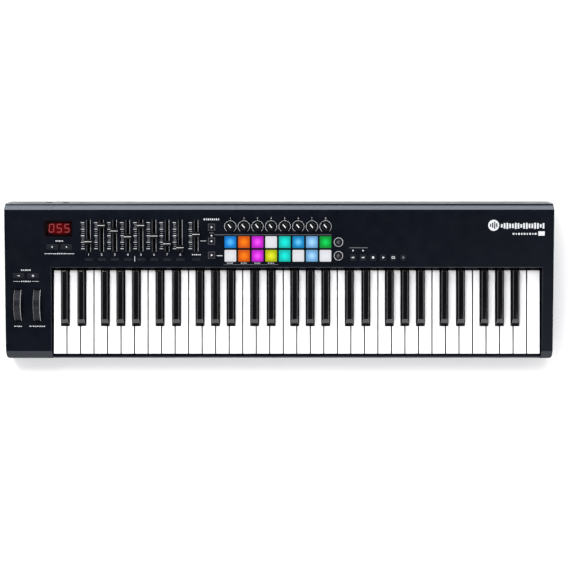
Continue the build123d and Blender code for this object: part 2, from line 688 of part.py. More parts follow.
# ------------------------------------------------------------------ panel controls
def make_faders():
    cap_width, cap_length, cap_height = FADER_CAP
    stem_width, stem_length, stem_depth = FADER_STEM
    half, low, top = cap_length / 2, FADER_CAP_LOW, FADER_CAP_LOW + cap_height
    half_top = half - FADER_CAP_SLOPE
    for number, (x, setting) in enumerate(zip(FADER_COLUMNS, FADER_SETTINGS), start=1):
        v = FADER_MIDDLE + (setting - 0.5) * FADER_TRAVEL
        side = Plane(origin=PANEL.from_local_coords(Vector(x, v, 0)), x_dir=PANEL.y_dir,
                     z_dir=PANEL.x_dir)
        with BuildPart() as fader:
            with BuildSketch(side):
                with BuildLine():
                    Polyline((-half_top, top), (-half, low), (half, low), (half_top, top))
                    ThreePointArc((half_top, top), (0, top - FADER_CAP_HOLLOW), (-half_top, top))
                make_face()
            extrude(amount=cap_width / 2, both=True)
            with BuildSketch(PANEL.offset(-stem_depth)):
                with Locations((x, v)):
                    Rectangle(stem_width, stem_length)
            extrude(amount=stem_depth + low)
        finish(fader, f"fader_{number}")


def make_knobs():
    pointer_width, pointer_depth = KNOB_POINTER
    for number, x in enumerate(KNOB_COLUMNS, start=1):
        axle = Plane(origin=PANEL.from_local_coords(Vector(x, KNOB_ROW, 0)),
                     x_dir=PANEL.x_dir, z_dir=PANEL.z_dir)
        with BuildPart() as knob:
            with BuildSketch(axle.offset(KNOB_LOW)):
                Circle(KNOB_BASE_RADIUS)
            with BuildSketch(axle.offset(KNOB_HEIGHT)):
                Circle(KNOB_TOP_RADIUS)
            loft()
            fillet(knob.edges().filter_by(GeomType.CIRCLE).sort_by(Axis.Z)[-1], KNOB_ROUND)
            with BuildSketch(axle.offset(-KNOB_SHAFT_DEPTH)):
                Circle(KNOB_SHAFT_RADIUS)
            extrude(amount=KNOB_LOW + KNOB_SHAFT_DEPTH)
            # pointer: a shallow groove across the top, from the middle to the rim
            with BuildSketch(axle.offset(KNOB_HEIGHT)):
                with Locations(Rotation(0, 0, KNOB_REST_ANGLE)):
                    with Locations((0, KNOB_TOP_RADIUS / 2)):
                        Rectangle(pointer_width, KNOB_TOP_RADIUS)
            extrude(amount=-pointer_depth, mode=Mode.SUBTRACT)
        finish(knob, f"knob_{number}")


def make_pads_and_buttons():
    for row in PAD_ROWS:
        with BuildPart() as pad_row:
            with BuildSketch(PANEL.offset(-BUTTON_DEPTH)):
                with Locations(pad_places(row)):
                    RectangleRounded(PAD_SIDE, PAD_SIDE, PAD_CORNER)
            extrude(amount=BUTTON_DEPTH + PAD_RISE)
        finish(pad_row, f"pads_{row}_row")

    for group in BUTTON_GROUPS:
        with BuildPart() as button_group:
            with BuildSketch(PANEL.offset(-BUTTON_DEPTH)):
                button_outlines(group)
            extrude(amount=BUTTON_DEPTH + BUTTON_RISE)
        finish(button_group, group)


def make_circuit_boards():
    """The board under the panel with its switches, the board in the left cheek, and the main board."""
    switch_top = BUTTON_DEPTH + max(BUTTON_TRAVEL, PAD_TRAVEL) + SWITCH_GAP
    with BuildPart() as circuit_boards:
        with BuildSketch(PANEL.offset(-CONTROL_BOARD_DEPTH)):
            for left, right, low, high in (CONTROL_BOARD, OCTAVE_BOARD):
                with Locations(((left + right) / 2, (low + high) / 2)):
                    Rectangle(right - left, high - low)
        extrude(amount=-BOARD_THICKNESS)
        with BuildSketch(PANEL.offset(-CONTROL_BOARD_DEPTH)):
            for group in BUTTON_GROUPS.values():
                with Locations([(x, v) for x, v, *_ in group]):
                    Rectangle(BUTTON_SWITCH, BUTTON_SWITCH)
            for row in PAD_ROWS:
                with Locations(pad_places(row)):
                    Rectangle(PAD_SWITCH, PAD_SWITCH)
        extrude(amount=CONTROL_BOARD_DEPTH - switch_top)
        left, right, front, back = PORT_BOARD
        box_between(
            (left, front, PORT_BOARD_TOP - BOARD_THICKNESS), (right, back, PORT_BOARD_TOP)
        )
    finish(circuit_boards, "circuit_boards")


def make_potentiometers():
    groove_width, groove_length, groove_depth = SLIDE_POT_GROOVE
    body_height = CONTROL_BOARD_DEPTH - POT_TOP_DEPTH
    with BuildPart() as slide_pots:
        with BuildSketch(PANEL.offset(-CONTROL_BOARD_DEPTH)):
            with Locations([(x, FADER_MIDDLE) for x in FADER_COLUMNS]):
                Rectangle(*SLIDE_POT)
        extrude(amount=body_height)
        with BuildSketch(PANEL.offset(-POT_TOP_DEPTH)):
            with Locations([(x, FADER_MIDDLE) for x in FADER_COLUMNS]):
                Rectangle(groove_width, groove_length)
        extrude(amount=-groove_depth, mode=Mode.SUBTRACT)
    finish(slide_pots, "slide_pots")

    with BuildPart() as rotary_pots:
        with BuildSketch(PANEL.offset(-CONTROL_BOARD_DEPTH)):
            with Locations([(x, KNOB_ROW) for x in KNOB_COLUMNS]):
                RectangleRounded(ROTARY_POT, ROTARY_POT, 1.0)
        extrude(amount=body_height)
        with BuildSketch(PANEL.offset(-POT_TOP_DEPTH)):
            with Locations([(x, KNOB_ROW) for x in KNOB_COLUMNS]):
                Circle(KNOB_SHAFT_RADIUS + SHAFT_CLEARANCE)
        extrude(amount=ROTARY_POT_FLOOR - body_height, mode=Mode.SUBTRACT)
    finish(rotary_pots, "rotary_pots")


def make_display():
    outer_depth, inner_depth = DISPLAY_WINDOW
    width, length = [size - 2 * DISPLAY_MODULE_INSET for size in DISPLAY_SIZE]
    with BuildPart() as display_window:
        with BuildSketch(PANEL.offset(-inner_depth)):
            with Locations(DISPLAY_CENTRE):
                Rectangle(*DISPLAY_SIZE)
        extrude(amount=inner_depth - outer_depth)
    finish(display_window, "display_window")

    with BuildPart() as display_module:
        with BuildSketch(PANEL.offset(-CONTROL_BOARD_DEPTH)):
            with Locations(DISPLAY_CENTRE):
                Rectangle(width, length)
        extrude(amount=CONTROL_BOARD_DEPTH - DISPLAY_MODULE_DEPTH)
    finish(display_module, "display_module")


# ------------------------------------------------------------------ wheels
AXLE = PANEL.from_local_coords(Vector(0, WHEEL_V, -WHEEL_DEPTH))


def make_wheels():
    """Sectors of a wheel, with a finger notch in the tread between two full rims."""
    sector = radians(WHEEL_SECTOR_HALF_ANGLE)
    edge = (WHEEL_RADIUS * sin(sector), WHEEL_RADIUS * cos(sector))
    notch_distance = WHEEL_RADIUS + WHEEL_NOTCH_RADIUS - WHEEL_NOTCH_DEPTH
    for label, x in WHEEL_COLUMNS.items():
        side = Plane(origin=(x - WHEEL_WIDTH / 2, AXLE.Y, AXLE.Z), x_dir=(0, 1, 0),
                     z_dir=(1, 0, 0))
        with BuildPart() as wheel:
            with BuildSketch(side):
                with BuildLine():
                    ThreePointArc(edge, (0, WHEEL_RADIUS), (-edge[0], edge[1]))
                    Polyline((-edge[0], edge[1]), (0, 0), edge)
                make_face()
                Circle(WHEEL_HUB_RADIUS)
                Circle(WHEEL_AXLE_RADIUS + SHAFT_CLEARANCE, mode=Mode.SUBTRACT)
            extrude(amount=WHEEL_WIDTH)
            with BuildSketch(side.offset(WHEEL_RIM)):
                with Locations((0, notch_distance)):
                    Circle(WHEEL_NOTCH_RADIUS)
            extrude(amount=WHEEL_WIDTH - 2 * WHEEL_RIM, mode=Mode.SUBTRACT)
        finish(wheel, label)


def make_wheel_bracket():
    reach = WHEEL_WIDTH / 2 + BRACKET_GAP + BRACKET_PLATE / 2
    pitch_x, mod_x = WHEEL_COLUMNS.values()
    plates = (pitch_x - reach, (pitch_x + mod_x) / 2, mod_x + reach)
    start, end = plates[0] - BRACKET_PLATE / 2, plates[-1] + BRACKET_PLATE / 2
    axle_line = Plane(origin=(start, AXLE.Y, AXLE.Z), x_dir=(0, 1, 0), z_dir=(1, 0, 0))
    front, back, thickness = BRACKET_FOOT
    along, up = BRACKET_REACH
    foot_top = FLOOR + thickness
    with BuildPart() as wheel_bracket:
        box_between((start, front, FLOOR), (end, back, foot_top))
        for x in plates:
            box_between(
                (x - BRACKET_PLATE / 2, AXLE.Y - along, foot_top),
                (x + BRACKET_PLATE / 2, AXLE.Y + along, AXLE.Z + up),
            )
        with BuildSketch(axle_line):
            Circle(WHEEL_AXLE_RADIUS)
        extrude(amount=end - start)
    finish(wheel_bracket, "wheel_bracket")


# ------------------------------------------------------------------ ports
def make_ports():
    usb_middle = PORT_BOARD_TOP + USB_OUTER[1] / 2
    with BuildPart() as usb_socket:
        with BuildSketch(Plane.XZ.offset(-PORT_FACE)):
            with Locations((USB_X, usb_middle)):
                Rectangle(*USB_OUTER)
        extrude(amount=USB_LENGTH)
        with BuildSketch(Plane.XZ.offset(-PORT_FACE)):
            with Locations((USB_X, usb_middle)):
                Rectangle(*USB_INNER)
        extrude(amount=USB_CAVITY, mode=Mode.SUBTRACT)
        with BuildSketch(Plane.XZ.offset(OVERLAP - PORT_FACE)):
            with Locations((USB_X, usb_middle)):
                Rectangle(*USB_TONGUE)
        extrude(amount=USB_CAVITY)
    finish(usb_socket, "usb_socket")

    half_width, height = JACK_BODY
    nose_face = Plane.XZ.offset(-PORT_FACE - OVERLAP)
    with BuildPart() as pedal_jack:
        box_between(
            (JACK_X - half_width, PORT_FACE - PORT_DEPTH, PORT_BOARD_TOP),
            (JACK_X + half_width, PORT_FACE - JACK_NOSE, JACK_Z + height),
        )
        with BuildSketch(nose_face):
            with Locations((JACK_X, JACK_Z)):
                Circle(JACK_NOSE_RADIUS)
        extrude(amount=JACK_NOSE + OVERLAP)
        with BuildSketch(nose_face):
            with Locations((JACK_X, JACK_Z)):
                Circle(JACK_BORE_RADIUS)
        extrude(amount=PORT_DEPTH - JACK_END_WALL, mode=Mode.SUBTRACT)
    finish(pedal_jack, "pedal_jack")


os.makedirs("parts", exist_ok=True)
make_top_case()
make_bottom_case()
make_rear_panel()
make_feet_and_screws()
make_keys()
make_keybed()
make_faders()
make_knobs()
make_pads_and_buttons()
make_circuit_boards()
make_potentiometers()
make_display()
make_wheels()
make_wheel_bracket()
make_ports()
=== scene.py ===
import bpy
import bmesh
import json
from math import acos, cos, degrees, pi, radians, sin
from mathutils import Matrix, Vector


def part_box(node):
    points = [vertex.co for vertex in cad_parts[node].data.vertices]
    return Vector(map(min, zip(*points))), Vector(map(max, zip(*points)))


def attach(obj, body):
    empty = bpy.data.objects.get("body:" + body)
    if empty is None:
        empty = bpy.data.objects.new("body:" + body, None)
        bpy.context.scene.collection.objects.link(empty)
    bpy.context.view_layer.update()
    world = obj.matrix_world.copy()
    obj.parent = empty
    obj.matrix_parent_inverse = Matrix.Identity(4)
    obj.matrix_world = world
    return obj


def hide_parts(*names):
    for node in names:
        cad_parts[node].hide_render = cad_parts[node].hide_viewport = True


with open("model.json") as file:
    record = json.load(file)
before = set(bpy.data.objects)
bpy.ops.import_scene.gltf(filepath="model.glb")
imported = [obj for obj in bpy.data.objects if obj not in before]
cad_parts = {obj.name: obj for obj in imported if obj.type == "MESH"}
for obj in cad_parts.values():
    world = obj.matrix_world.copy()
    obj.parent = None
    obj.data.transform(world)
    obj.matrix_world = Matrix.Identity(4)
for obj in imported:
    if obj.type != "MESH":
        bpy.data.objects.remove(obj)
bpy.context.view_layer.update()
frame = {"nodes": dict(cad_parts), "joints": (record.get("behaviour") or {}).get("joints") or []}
NODES = frame["nodes"]
JOINTS = {joint["name"]: joint for joint in frame["joints"]}
MM = 0.001
QUARTER = pi / 2
WELD_DISTANCE = SMALLEST_CORNER = 1e-6

# ------------------------------------------------------------------ local frames
# In the panel's frame x runs to the right, v up the panel's slope and w out of its face. v is 0
# over the middle of the case.
PANEL_NORMAL = Vector(JOINTS["knob_1_turn"]["axis"])
PANEL_SLOPE = Vector(JOINTS["fader_1_slide"]["axis"])
knob_point = Vector(JOINTS["knob_1_turn"]["pos_m"])
PANEL_ORIGIN = Vector((0, 0, knob_point.z - knob_point.y / PANEL_SLOPE.y * PANEL_SLOPE.z))
PANEL = Matrix.Translation(PANEL_ORIGIN) @ Matrix(
    ((1, 0, 0), PANEL_SLOPE, PANEL_NORMAL)
).transposed().to_4x4()
TO_PANEL = PANEL.inverted()

# Stands a stack of rings along x: (a, b, height) becomes (height, a, b).
ALONG_X = Matrix(((0, 0, 1, 0), (1, 0, 0, 0), (0, 1, 0, 0), (0, 0, 0, 1)))


def solid_boxes(node, to_local=Matrix.Identity(4)):
    """The boxes of a CAD node's solids, as (low, high) in a local frame, from left to right."""
    shape = bmesh.new()
    shape.from_mesh(NODES[node].data)
    bmesh.ops.remove_doubles(shape, verts=shape.verts, dist=WELD_DISTANCE)
    boxes, left = [], set(shape.verts)
    while left:
        island, edge = set(), {left.pop()}
        while edge:
            island |= edge
            edge = {e.other_vert(v) for v in edge for e in v.link_edges} - island
        left -= island
        places = [to_local @ v.co for v in island]
        low = Vector([min(p[i] for p in places) for i in range(3)])
        high = Vector([max(p[i] for p in places) for i in range(3)])
        boxes.append((low, high))
    shape.free()
    return sorted(boxes, key=lambda box: (round(box[0].x, 5), box[0].y))


def middle_of(low, high):
    return (low.x + high.x) / 2, (low.y + high.y) / 2


# ------------------------------------------------------------------ mesh helpers
def quarter_turn(steps):
    """Angles from nought to a quarter of a turn, for a rounded edge."""
    return [step / steps * QUARTER for step in range(steps + 1)]


def rounded_rectangle(width, length, corner, steps=4, centre=(0, 0)):
    """Points of a rounded rectangle, counter-clockwise."""
    corner = max(min(corner, width / 2, length / 2), SMALLEST_CORNER)
    points = []
    for number in range(4):
        sign_x = 1 if number in (0, 3) else -1
        sign_y = 1 if number in (0, 1) else -1
        for turn in quarter_turn(steps):
            angle = number * QUARTER + turn
            points.append((
                centre[0] + sign_x * (width / 2 - corner) + corner * cos(angle),
                centre[1] + sign_y * (length / 2 - corner) + corner * sin(angle),
            ))
    return points


def circle(radius, steps, centre=(0, 0)):
    turns = [2 * pi * step / steps for step in range(steps)]
    return [(centre[0] + radius * cos(a), centre[1] + radius * sin(a)) for a in turns]


def inset(points, distance):
    """Points of a polygon moved inwards by a distance, with mitred corners."""
    moved = []
    for number, point in enumerate(points):
        here = Vector(point)
        before = here - Vector(points[number - 1])
        after = Vector(points[(number + 1) % len(points)]) - here
        normal_before = Vector((-before.y, before.x)).normalized()
        normal_after = Vector((-after.y, after.x)).normalized()
        middle = normal_before + normal_after
        moved.append(tuple(here + middle * (distance * 2 / middle.length_squared)))
    return moved


def stack(shape, rings, material=0):
    """Adds a closed skin through rings of (points, height), all with the same number of points."""
    rows = [[shape.verts.new((x, y, height)) for x, y in points] for points, height in rings]
    faces = [shape.faces.new(rows[0][::-1]), shape.faces.new(rows[-1])]
    for lower, upper in zip(rows, rows[1:]):
        for number in range(len(lower)):
            after = (number + 1) % len(lower)
            corners = (lower[number], lower[after], upper[after], upper[number])
            faces.append(shape.faces.new(corners))
    for face in faces:
        face.material_index = material
    return rows


def rounded_edge(outline, high, edge, steps=4):
    """Rings round an upper edge. outline(i) gives the points of a block, inset by i."""
    return [
        (outline(edge * (1 - cos(angle))), high - edge + edge * sin(angle))
        for angle in quarter_turn(steps)
    ]


def round_top(outline, low, high, edge):
    """Rings of a block whose upper edge is rounded."""
    return [(outline(0), low)] + rounded_edge(outline, high, edge)


def block(shape, x0, x1, y0, y1, z0, z1, material=0):
    corners = [(x0, y0), (x1, y0), (x1, y1), (x0, y1)]
    return stack(shape, [(corners, z) for z in (z0, z1)], material)


def refinish(shape, material, chosen):
    """Gives another material to the faces that have the first one and whose normal is chosen."""
    shape.normal_update()
    for face in shape.faces:
        if face.material_index == 0 and chosen(face.normal):
            face.material_index = material


def piece(name, shape, materials, body, place=Matrix.Identity(4), replaces=(),
          origin=None, sharp=40):
    """Makes an object of a bmesh, which rides on a body and takes the given materials.

    The mesh itself is moved to its place, unless the object gets an origin of its own there."""
    mesh = bpy.data.meshes.new(name)
    bmesh.ops.recalc_face_normals(shape, faces=shape.faces)
    shape.to_mesh(mesh)
    shape.free()
    for material in materials:
        mesh.materials.append(material)
    thing = bpy.data.objects.new(name, mesh)
    bpy.context.scene.collection.objects.link(thing)
    if origin is None:
        mesh.transform(place)
    else:
        thing.matrix_world = place @ Matrix.Translation(origin)
    mesh.shade_smooth()
    mesh.set_sharp_from_angle(angle=radians(sharp))
    bpy.context.view_layer.update()
    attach(thing, body)
    if replaces:
        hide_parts(*replaces)
    return thing


# ------------------------------------------------------------------ material helpers
NOISE_LOW, NOISE_HIGH = 0.3, 0.7  # a noise texture stays mostly between these
DRIFT_SCALE, HANDLING_SCALE = 14, 45
COAT_ROUGHNESS = 0.12
LEAN_START, LEAN_FULL = 0.3, 0.5  # a face's lean to the rear, where the painted reflection of the light behind begins and where it is full


def srgb(red, green, blue):
    """Linear colour from 0 to 255 display values."""
    linear = []
    for value in (red, green, blue):
        value /= 255
        linear.append(value / 12.92 if value <= 0.04045 else ((value + 0.055) / 1.055) ** 2.4)
    return (*linear, 1.0)


def scaled(colour, factor):
    return tuple(c * factor for c in colour[:3]) + (1,)


def node_material(name):
    material = bpy.data.materials.new(name)
    material.use_nodes = True
    tree = material.node_tree
    shader = tree.nodes["Principled BSDF"]
    return material, tree, shader


def coordinates(tree, space="Object"):
    return tree.nodes.new("ShaderNodeTexCoord").outputs[space]


def noise(tree, scale, detail=2.0, stretch=(1, 1, 1)):
    """A noise texture in object space; stretch scales it along each axis."""
    mapping = tree.nodes.new("ShaderNodeMapping")
    mapping.inputs["Scale"].default_value = stretch
    texture = tree.nodes.new("ShaderNodeTexNoise")
    texture.inputs["Scale"].default_value = scale
    texture.inputs["Detail"].default_value = detail
    tree.links.new(coordinates(tree), mapping.inputs["Vector"])
    tree.links.new(mapping.outputs["Vector"], texture.inputs["Vector"])
    return texture.outputs["Fac"]


def map_range(tree, value, from_low, from_high, low=0.0, high=1.0):
    """Maps a value from one range to another, and clamps it to the second."""
    mapper = tree.nodes.new("ShaderNodeMapRange")
    mapper.inputs["From Min"].default_value = from_low
    mapper.inputs["From Max"].default_value = from_high
    mapper.inputs["To Min"].default_value = low
    mapper.inputs["To Max"].default_value = high
    tree.links.new(value, mapper.inputs["Value"])
    return mapper.outputs["Result"]


def spread(tree, value, low, high):
    """Maps a noise value to the given range."""
    return map_range(tree, value, NOISE_LOW, NOISE_HIGH, low, high)


def ramp(tree, value, stops, interpolation="LINEAR"):
    """A colour that runs with the value through stops of (position, colour), in rising order."""
    node = tree.nodes.new("ShaderNodeValToRGB")
    node.color_ramp.interpolation = interpolation
    elements = node.color_ramp.elements
    for element, (position, colour) in zip(elements, (stops[0], stops[-1])):
        element.position = position
        element.color = colour
    for position, colour in stops[1:-1]:
        elements.new(position).color = colour
    tree.links.new(value, node.inputs["Fac"])
    return node.outputs["Color"]


def tint(tree, value, first, second):
    """A colour that runs from first to second with a noise value."""
    return ramp(tree, value, ((NOISE_LOW, first), (NOISE_HIGH, second)))


def axis_of(tree, vector, axis):
    axes = tree.nodes.new("ShaderNodeSeparateXYZ")
    tree.links.new(vector, axes.inputs["Vector"])
    return axes.outputs[axis]


def length_of(tree, vector):
    length = tree.nodes.new("ShaderNodeVectorMath")
    length.operation = "LENGTH"
    tree.links.new(vector, length.inputs[0])
    return length.outputs["Value"]


def bumps(tree, shader, value, strength, distance):
    bump = tree.nodes.new("ShaderNodeBump")
    bump.inputs["Strength"].default_value = strength
    bump.inputs["Distance"].default_value = distance
    tree.links.new(value, bump.inputs["Height"])
    tree.links.new(bump.outputs["Normal"], shader.inputs["Normal"])


def moulded(name, colour, rough=(0.35, 0.5), grain=900, depth=0.05 * MM, strength=0.25,
            drift=0.12, specular=0.5, coat=0.0, metallic=0.0, stretch=(1, 1, 1),
            sheen=(1, 1, 1, 1)):
    """Moulded or machined stuff: a fine surface grain, and slow changes of colour and gloss."""
    material, tree, shader = node_material(name)
    slow = noise(tree, DRIFT_SCALE, 3, stretch)
    colours = tint(tree, slow, scaled(colour, 1 - drift), scaled(colour, 1 + drift))
    tree.links.new(colours, shader.inputs["Base Color"])
    handled = noise(tree, HANDLING_SCALE, 4, stretch)
    tree.links.new(spread(tree, handled, *rough), shader.inputs["Roughness"])
    bumps(tree, shader, noise(tree, grain, 1, stretch), strength, depth)
    shader.inputs["Specular IOR Level"].default_value = specular
    shader.inputs["Specular Tint"].default_value = sheen
    shader.inputs["Metallic"].default_value = metallic
    shader.inputs["Coat Weight"].default_value = coat
    shader.inputs["Coat Roughness"].default_value = COAT_ROUGHNESS
    return material


def lighten_rear_bevel(material, colour, fade_start, fade_end):
    """Paints a reflection of the light behind into the colour of the faces that slope down to the
    rear: lighter, fading out between two depths.
    """
    tree = material.node_tree
    shader = tree.nodes["Principled BSDF"]
    plain = shader.inputs["Base Color"].links[0].from_socket
    normal = tree.nodes.new("ShaderNodeNewGeometry").outputs["True Normal"]
    facing = map_range(tree, axis_of(tree, normal, "Y"), LEAN_START, LEAN_FULL)
    fade = map_range(tree, axis_of(tree, coordinates(tree), "Y"), fade_end, fade_start)
    share = tree.nodes.new("ShaderNodeMath")
    share.operation = "MULTIPLY"
    finish = tree.nodes.new("ShaderNodeMix")
    finish.data_type = "RGBA"
    finish.inputs["B"].default_value = colour
    tree.links.new(facing, share.inputs[0])
    tree.links.new(fade, share.inputs[1])
    tree.links.new(share.outputs["Value"], finish.inputs["Factor"])
    tree.links.new(plain, finish.inputs["A"])
    tree.links.new(finish.outputs["Result"], shader.inputs["Base Color"])


def glowing(name, edge, centre, half_size, rim_share):
    """A silicone pad lit from below: the light is strongest over the lamp in its middle."""
    material, tree, shader = node_material(name)
    flat = tree.nodes.new("ShaderNodeVectorMath")
    flat.operation = "MULTIPLY"
    flat.inputs[1].default_value = (1 / half_size, 1 / half_size, 0)
    tree.links.new(coordinates(tree), flat.inputs[0])
    distance = length_of(tree, flat.outputs["Vector"])
    stops = ((0.0, centre), (0.6, edge), (1.0, scaled(edge, rim_share)))
    light = ramp(tree, distance, stops, "B_SPLINE")
    tree.links.new(light, shader.inputs["Emission Color"])
    shader.inputs["Emission Strength"].default_value = 1.0
    shader.inputs["Base Color"].default_value = scaled(edge, 0.03)
    shader.inputs["Specular IOR Level"].default_value = 0.05
    tree.links.new(spread(tree, noise(tree, 300, 3), 0.42, 0.6), shader.inputs["Roughness"])
    bumps(tree, shader, noise(tree, 1400, 2), 0.2, 0.04 * MM)
    return material


def lamp(name, colour, strength):
    """A small lit area, slightly uneven."""
    material, tree, shader = node_material(name)
    light = tint(tree, noise(tree, 600, 2), scaled(colour, 0.8), colour)
    tree.links.new(light, shader.inputs["Emission Color"])
    shader.inputs["Emission Strength"].default_value = strength
    shader.inputs["Base Color"].default_value = scaled(colour, 0.1)
    shader.inputs["Specular IOR Level"].default_value = 0.1
    shader.inputs["Roughness"].default_value = 0.4
    return material


def paint(node, material):
    """Gives a CAD node's own mesh a material."""
    slots = NODES[node].data.materials
    slots.clear()
    slots.append(material)


# ------------------------------------------------------------------ materials
CASE = moulded("case_plastic", (0.0012, 0.0018, 0.004, 1), (0.26, 0.32), grain=1300,
               strength=0.12, specular=0.34, sheen=(0.78, 0.88, 1.0, 1))
# the rear bevel's light colour is a painted reflection of the light behind the case
lighten_rear_bevel(CASE, (0.070, 0.076, 0.090, 1), 126.0 * MM, 129.0 * MM)
BASE = moulded("base_plastic", srgb(30, 30, 33), (0.5, 0.65), grain=700, strength=0.5)
REAR = moulded("rear_plastic", (0.046, 0.049, 0.05, 1), (0.4, 0.5), grain=900, specular=0.2)
WHITE_KEY = moulded("white_key", (0.8, 0.8, 0.81, 1), (0.16, 0.26), grain=400, strength=0.03,
                    drift=0.01)
# the white keys' sides are painted dark: painted shade for the gaps between keys
KEY_GAP_SHADE = moulded("white_key_wall", (0.05, 0.05, 0.052, 1), (0.5, 0.6), drift=0.02,
                   specular=0.1)
# the white keys' tails are painted grey: painted shade in the gap under the panel's edge
KEY_TAIL_SHADE = moulded("key_tail", srgb(60, 60, 62), (0.5, 0.6))
BLACK_KEY = moulded("black_key", (0.001, 0.001, 0.0014, 1), (0.14, 0.2), grain=1500,
                    strength=0.03, specular=0.7, coat=1.0)
BLACK_FRONT = moulded("black_key_front", (0.001, 0.001, 0.0014, 1), (0.25, 0.35), grain=1500,
                      strength=0.05, coat=0.3)
BLACK_WALL = moulded("black_key_wall", (0.006, 0.006, 0.007, 1), (0.6, 0.7), grain=1500,
                     specular=0.0)
POINTER = moulded("pointer_inlay", (0.65, 0.65, 0.65, 1), (0.4, 0.5), grain=1500, drift=0.04,
                  specular=0.2)
INK = moulded("white_ink", (0.5, 0.51, 0.53, 1), (0.5, 0.6), grain=2000, drift=0.04,
              specular=0.2)
FAINT_INK = moulded("grey_ink", (0.11, 0.11, 0.12, 1), (0.5, 0.6), grain=2000, drift=0.04,
                    specular=0.2)
BUTTON = moulded("button_silicone", (0.003, 0.0032, 0.0052, 1), (0.45, 0.55), grain=1500,
                 specular=0.25, sheen=(0.8, 0.85, 1.0, 1))
KNOB = moulded("knob_rubber", (0.002, 0.002, 0.003, 1), (0.4, 0.5), grain=1800, specular=0.15)
CAP = moulded("fader_cap", (0.002, 0.002, 0.003, 1), (0.45, 0.55), grain=1500, specular=0.1)
WHEEL = moulded("wheel_rubber", (0.007, 0.007, 0.009, 1), (0.45, 0.6), grain=1500, strength=0.2,
                specular=0.22, sheen=(0.85, 0.88, 1.0, 1))
# a lighter colour that paints the highlight on each wheel's right-hand rounded rim
WHEEL_RIM_HIGHLIGHT = moulded("wheel_rim", (0.2, 0.2, 0.205, 1), (0.2, 0.3), grain=900)
SLOT = moulded("slot_lining", (0.002, 0.002, 0.002, 1), (0.7, 0.8), specular=0.1)
BOARD = moulded("circuit_board", srgb(18, 80, 45), (0.3, 0.45), grain=500)
SILICONE = moulded("dome_silicone", srgb(190, 190, 184), (0.5, 0.6))
FELT = moulded("felt", srgb(110, 20, 26), (0.85, 0.95), grain=2500, strength=0.9, depth=0.2 * MM)
STEEL = moulded("plated_steel", srgb(180, 180, 182), (0.25, 0.4), grain=600, metallic=1.0,
                stretch=(1, 12, 1))
NICKEL = moulded("nickel", srgb(200, 200, 200), (0.15, 0.25), grain=600, metallic=1.0)
RUBBER = moulded("foot_rubber", srgb(28, 28, 28), (0.75, 0.9), grain=900, strength=0.6)
SCREW = moulded("black_steel", srgb(30, 30, 32), (0.3, 0.4), metallic=0.8)
DIGIT = lamp("display_digit", srgb(208, 92, 94), 1.0)
BEZEL = moulded("display_bezel", srgb(10, 2, 4), (0.3, 0.4), grain=1500, specular=0.1)

NODE_MATERIALS = {
    "top_case": CASE, "bottom_case": BASE, "rear_panel": REAR, "keybed_frame": BASE,
    "key_pivot_rod": STEEL, "key_contact_board": BOARD, "key_domes": SILICONE,
    "key_felts": FELT, "circuit_boards": BOARD, "slide_pots": SLOT, "rotary_pots": STEEL,
    "wheel_bracket": BASE, "usb_socket": NICKEL, "pedal_jack": BASE, "rubber_feet": RUBBER,
    "case_screws": SCREW,
}
for node, material in NODE_MATERIALS.items():
    paint(node, material)

# ------------------------------------------------------------------ keys
OCTAVES = range(1, 6)
KEY_BACK = 16.0 * MM  # a key's broad part ends here, just in front of the panel's edge
TAIL_HALF_WIDTH, TAIL_LOW, TAIL_HIGH = 4.5 * MM, 32 * MM, 42 * MM
TAIL_OVERLAP = MM
WHITE_FINISHES = WHITE_KEY, KEY_TAIL_SHADE, KEY_GAP_SHADE
TAIL_SHADE_FINISH, GAP_SHADE_FINISH = 1, 2
BLACK_FINISHES = BLACK_KEY, BLACK_WALL, BLACK_FRONT
DULL_FINISH, FRONT_FINISH = 1, 2

WHITE_EDGE = 0.4 * MM
WHITE_DEPTH = 18 * MM
WHITE_NARROWING = 0.5 * MM
BLACK_CLEARANCE = 0.8 * MM
HEAD_GAP = 1.2 * MM  # between a black key's front and the broad head of its white neighbours
BLACK_OUTSIDE, BLACK_INSIDE = 8 * MM, 11 * MM  # where a black key's middle is, from a white's side

BLACK_EDGE, BLACK_EDGE_STEPS = 1.6 * MM, 5
BLACK_CORNER = 1.0 * MM
BLACK_UNDERCUT, BLACK_GROOVE = 0.8 * MM, 0.1 * MM
BLACK_LOW = 32 * MM
BASE_DROP, KNEE_DROP = 13 * MM, 6 * MM
# width of a black cap at three levels, and how far its front and back stand in there, in mm
BLACK_BASE, BLACK_KNEE, BLACK_CROWN = (14.0, 0.0, 0.0), (11.7, 4.4, 0.2), (10.0, 9.8, 0.4)

black_boxes = []
for number in OCTAVES:
    black_boxes += solid_boxes(f"black_keys_{number}")
HEAD_BACK = black_boxes[0][0].y - HEAD_GAP


def key_tail(shape, middle, back, material=0):
    """The narrow arm that runs from a key to its pivot, low down under the panel."""
    block(shape, middle - TAIL_HALF_WIDTH, middle + TAIL_HALF_WIDTH, KEY_BACK - TAIL_OVERLAP, back,
          TAIL_LOW, TAIL_HIGH, material)


def white_key_outline(x0, x1, y0, y1, cut_left, cut_right):
    """Plan outline of one white key: cut away on either side where a black key stands."""
    points = [(x0, y0), (x1, y0)]
    if cut_right is None:
        points.append((x1, y1))
    else:
        points += [(x1, HEAD_BACK), (cut_right, HEAD_BACK), (cut_right, y1)]
    if cut_left is None:
        points.append((x0, y1))
    else:
        points += [(cut_left, y1), (cut_left, HEAD_BACK), (x0, HEAD_BACK)]
    return points


def black_keys_near(start, end):
    return [box for box in black_boxes if start < (box[0].x + box[1].x) / 2 < end]


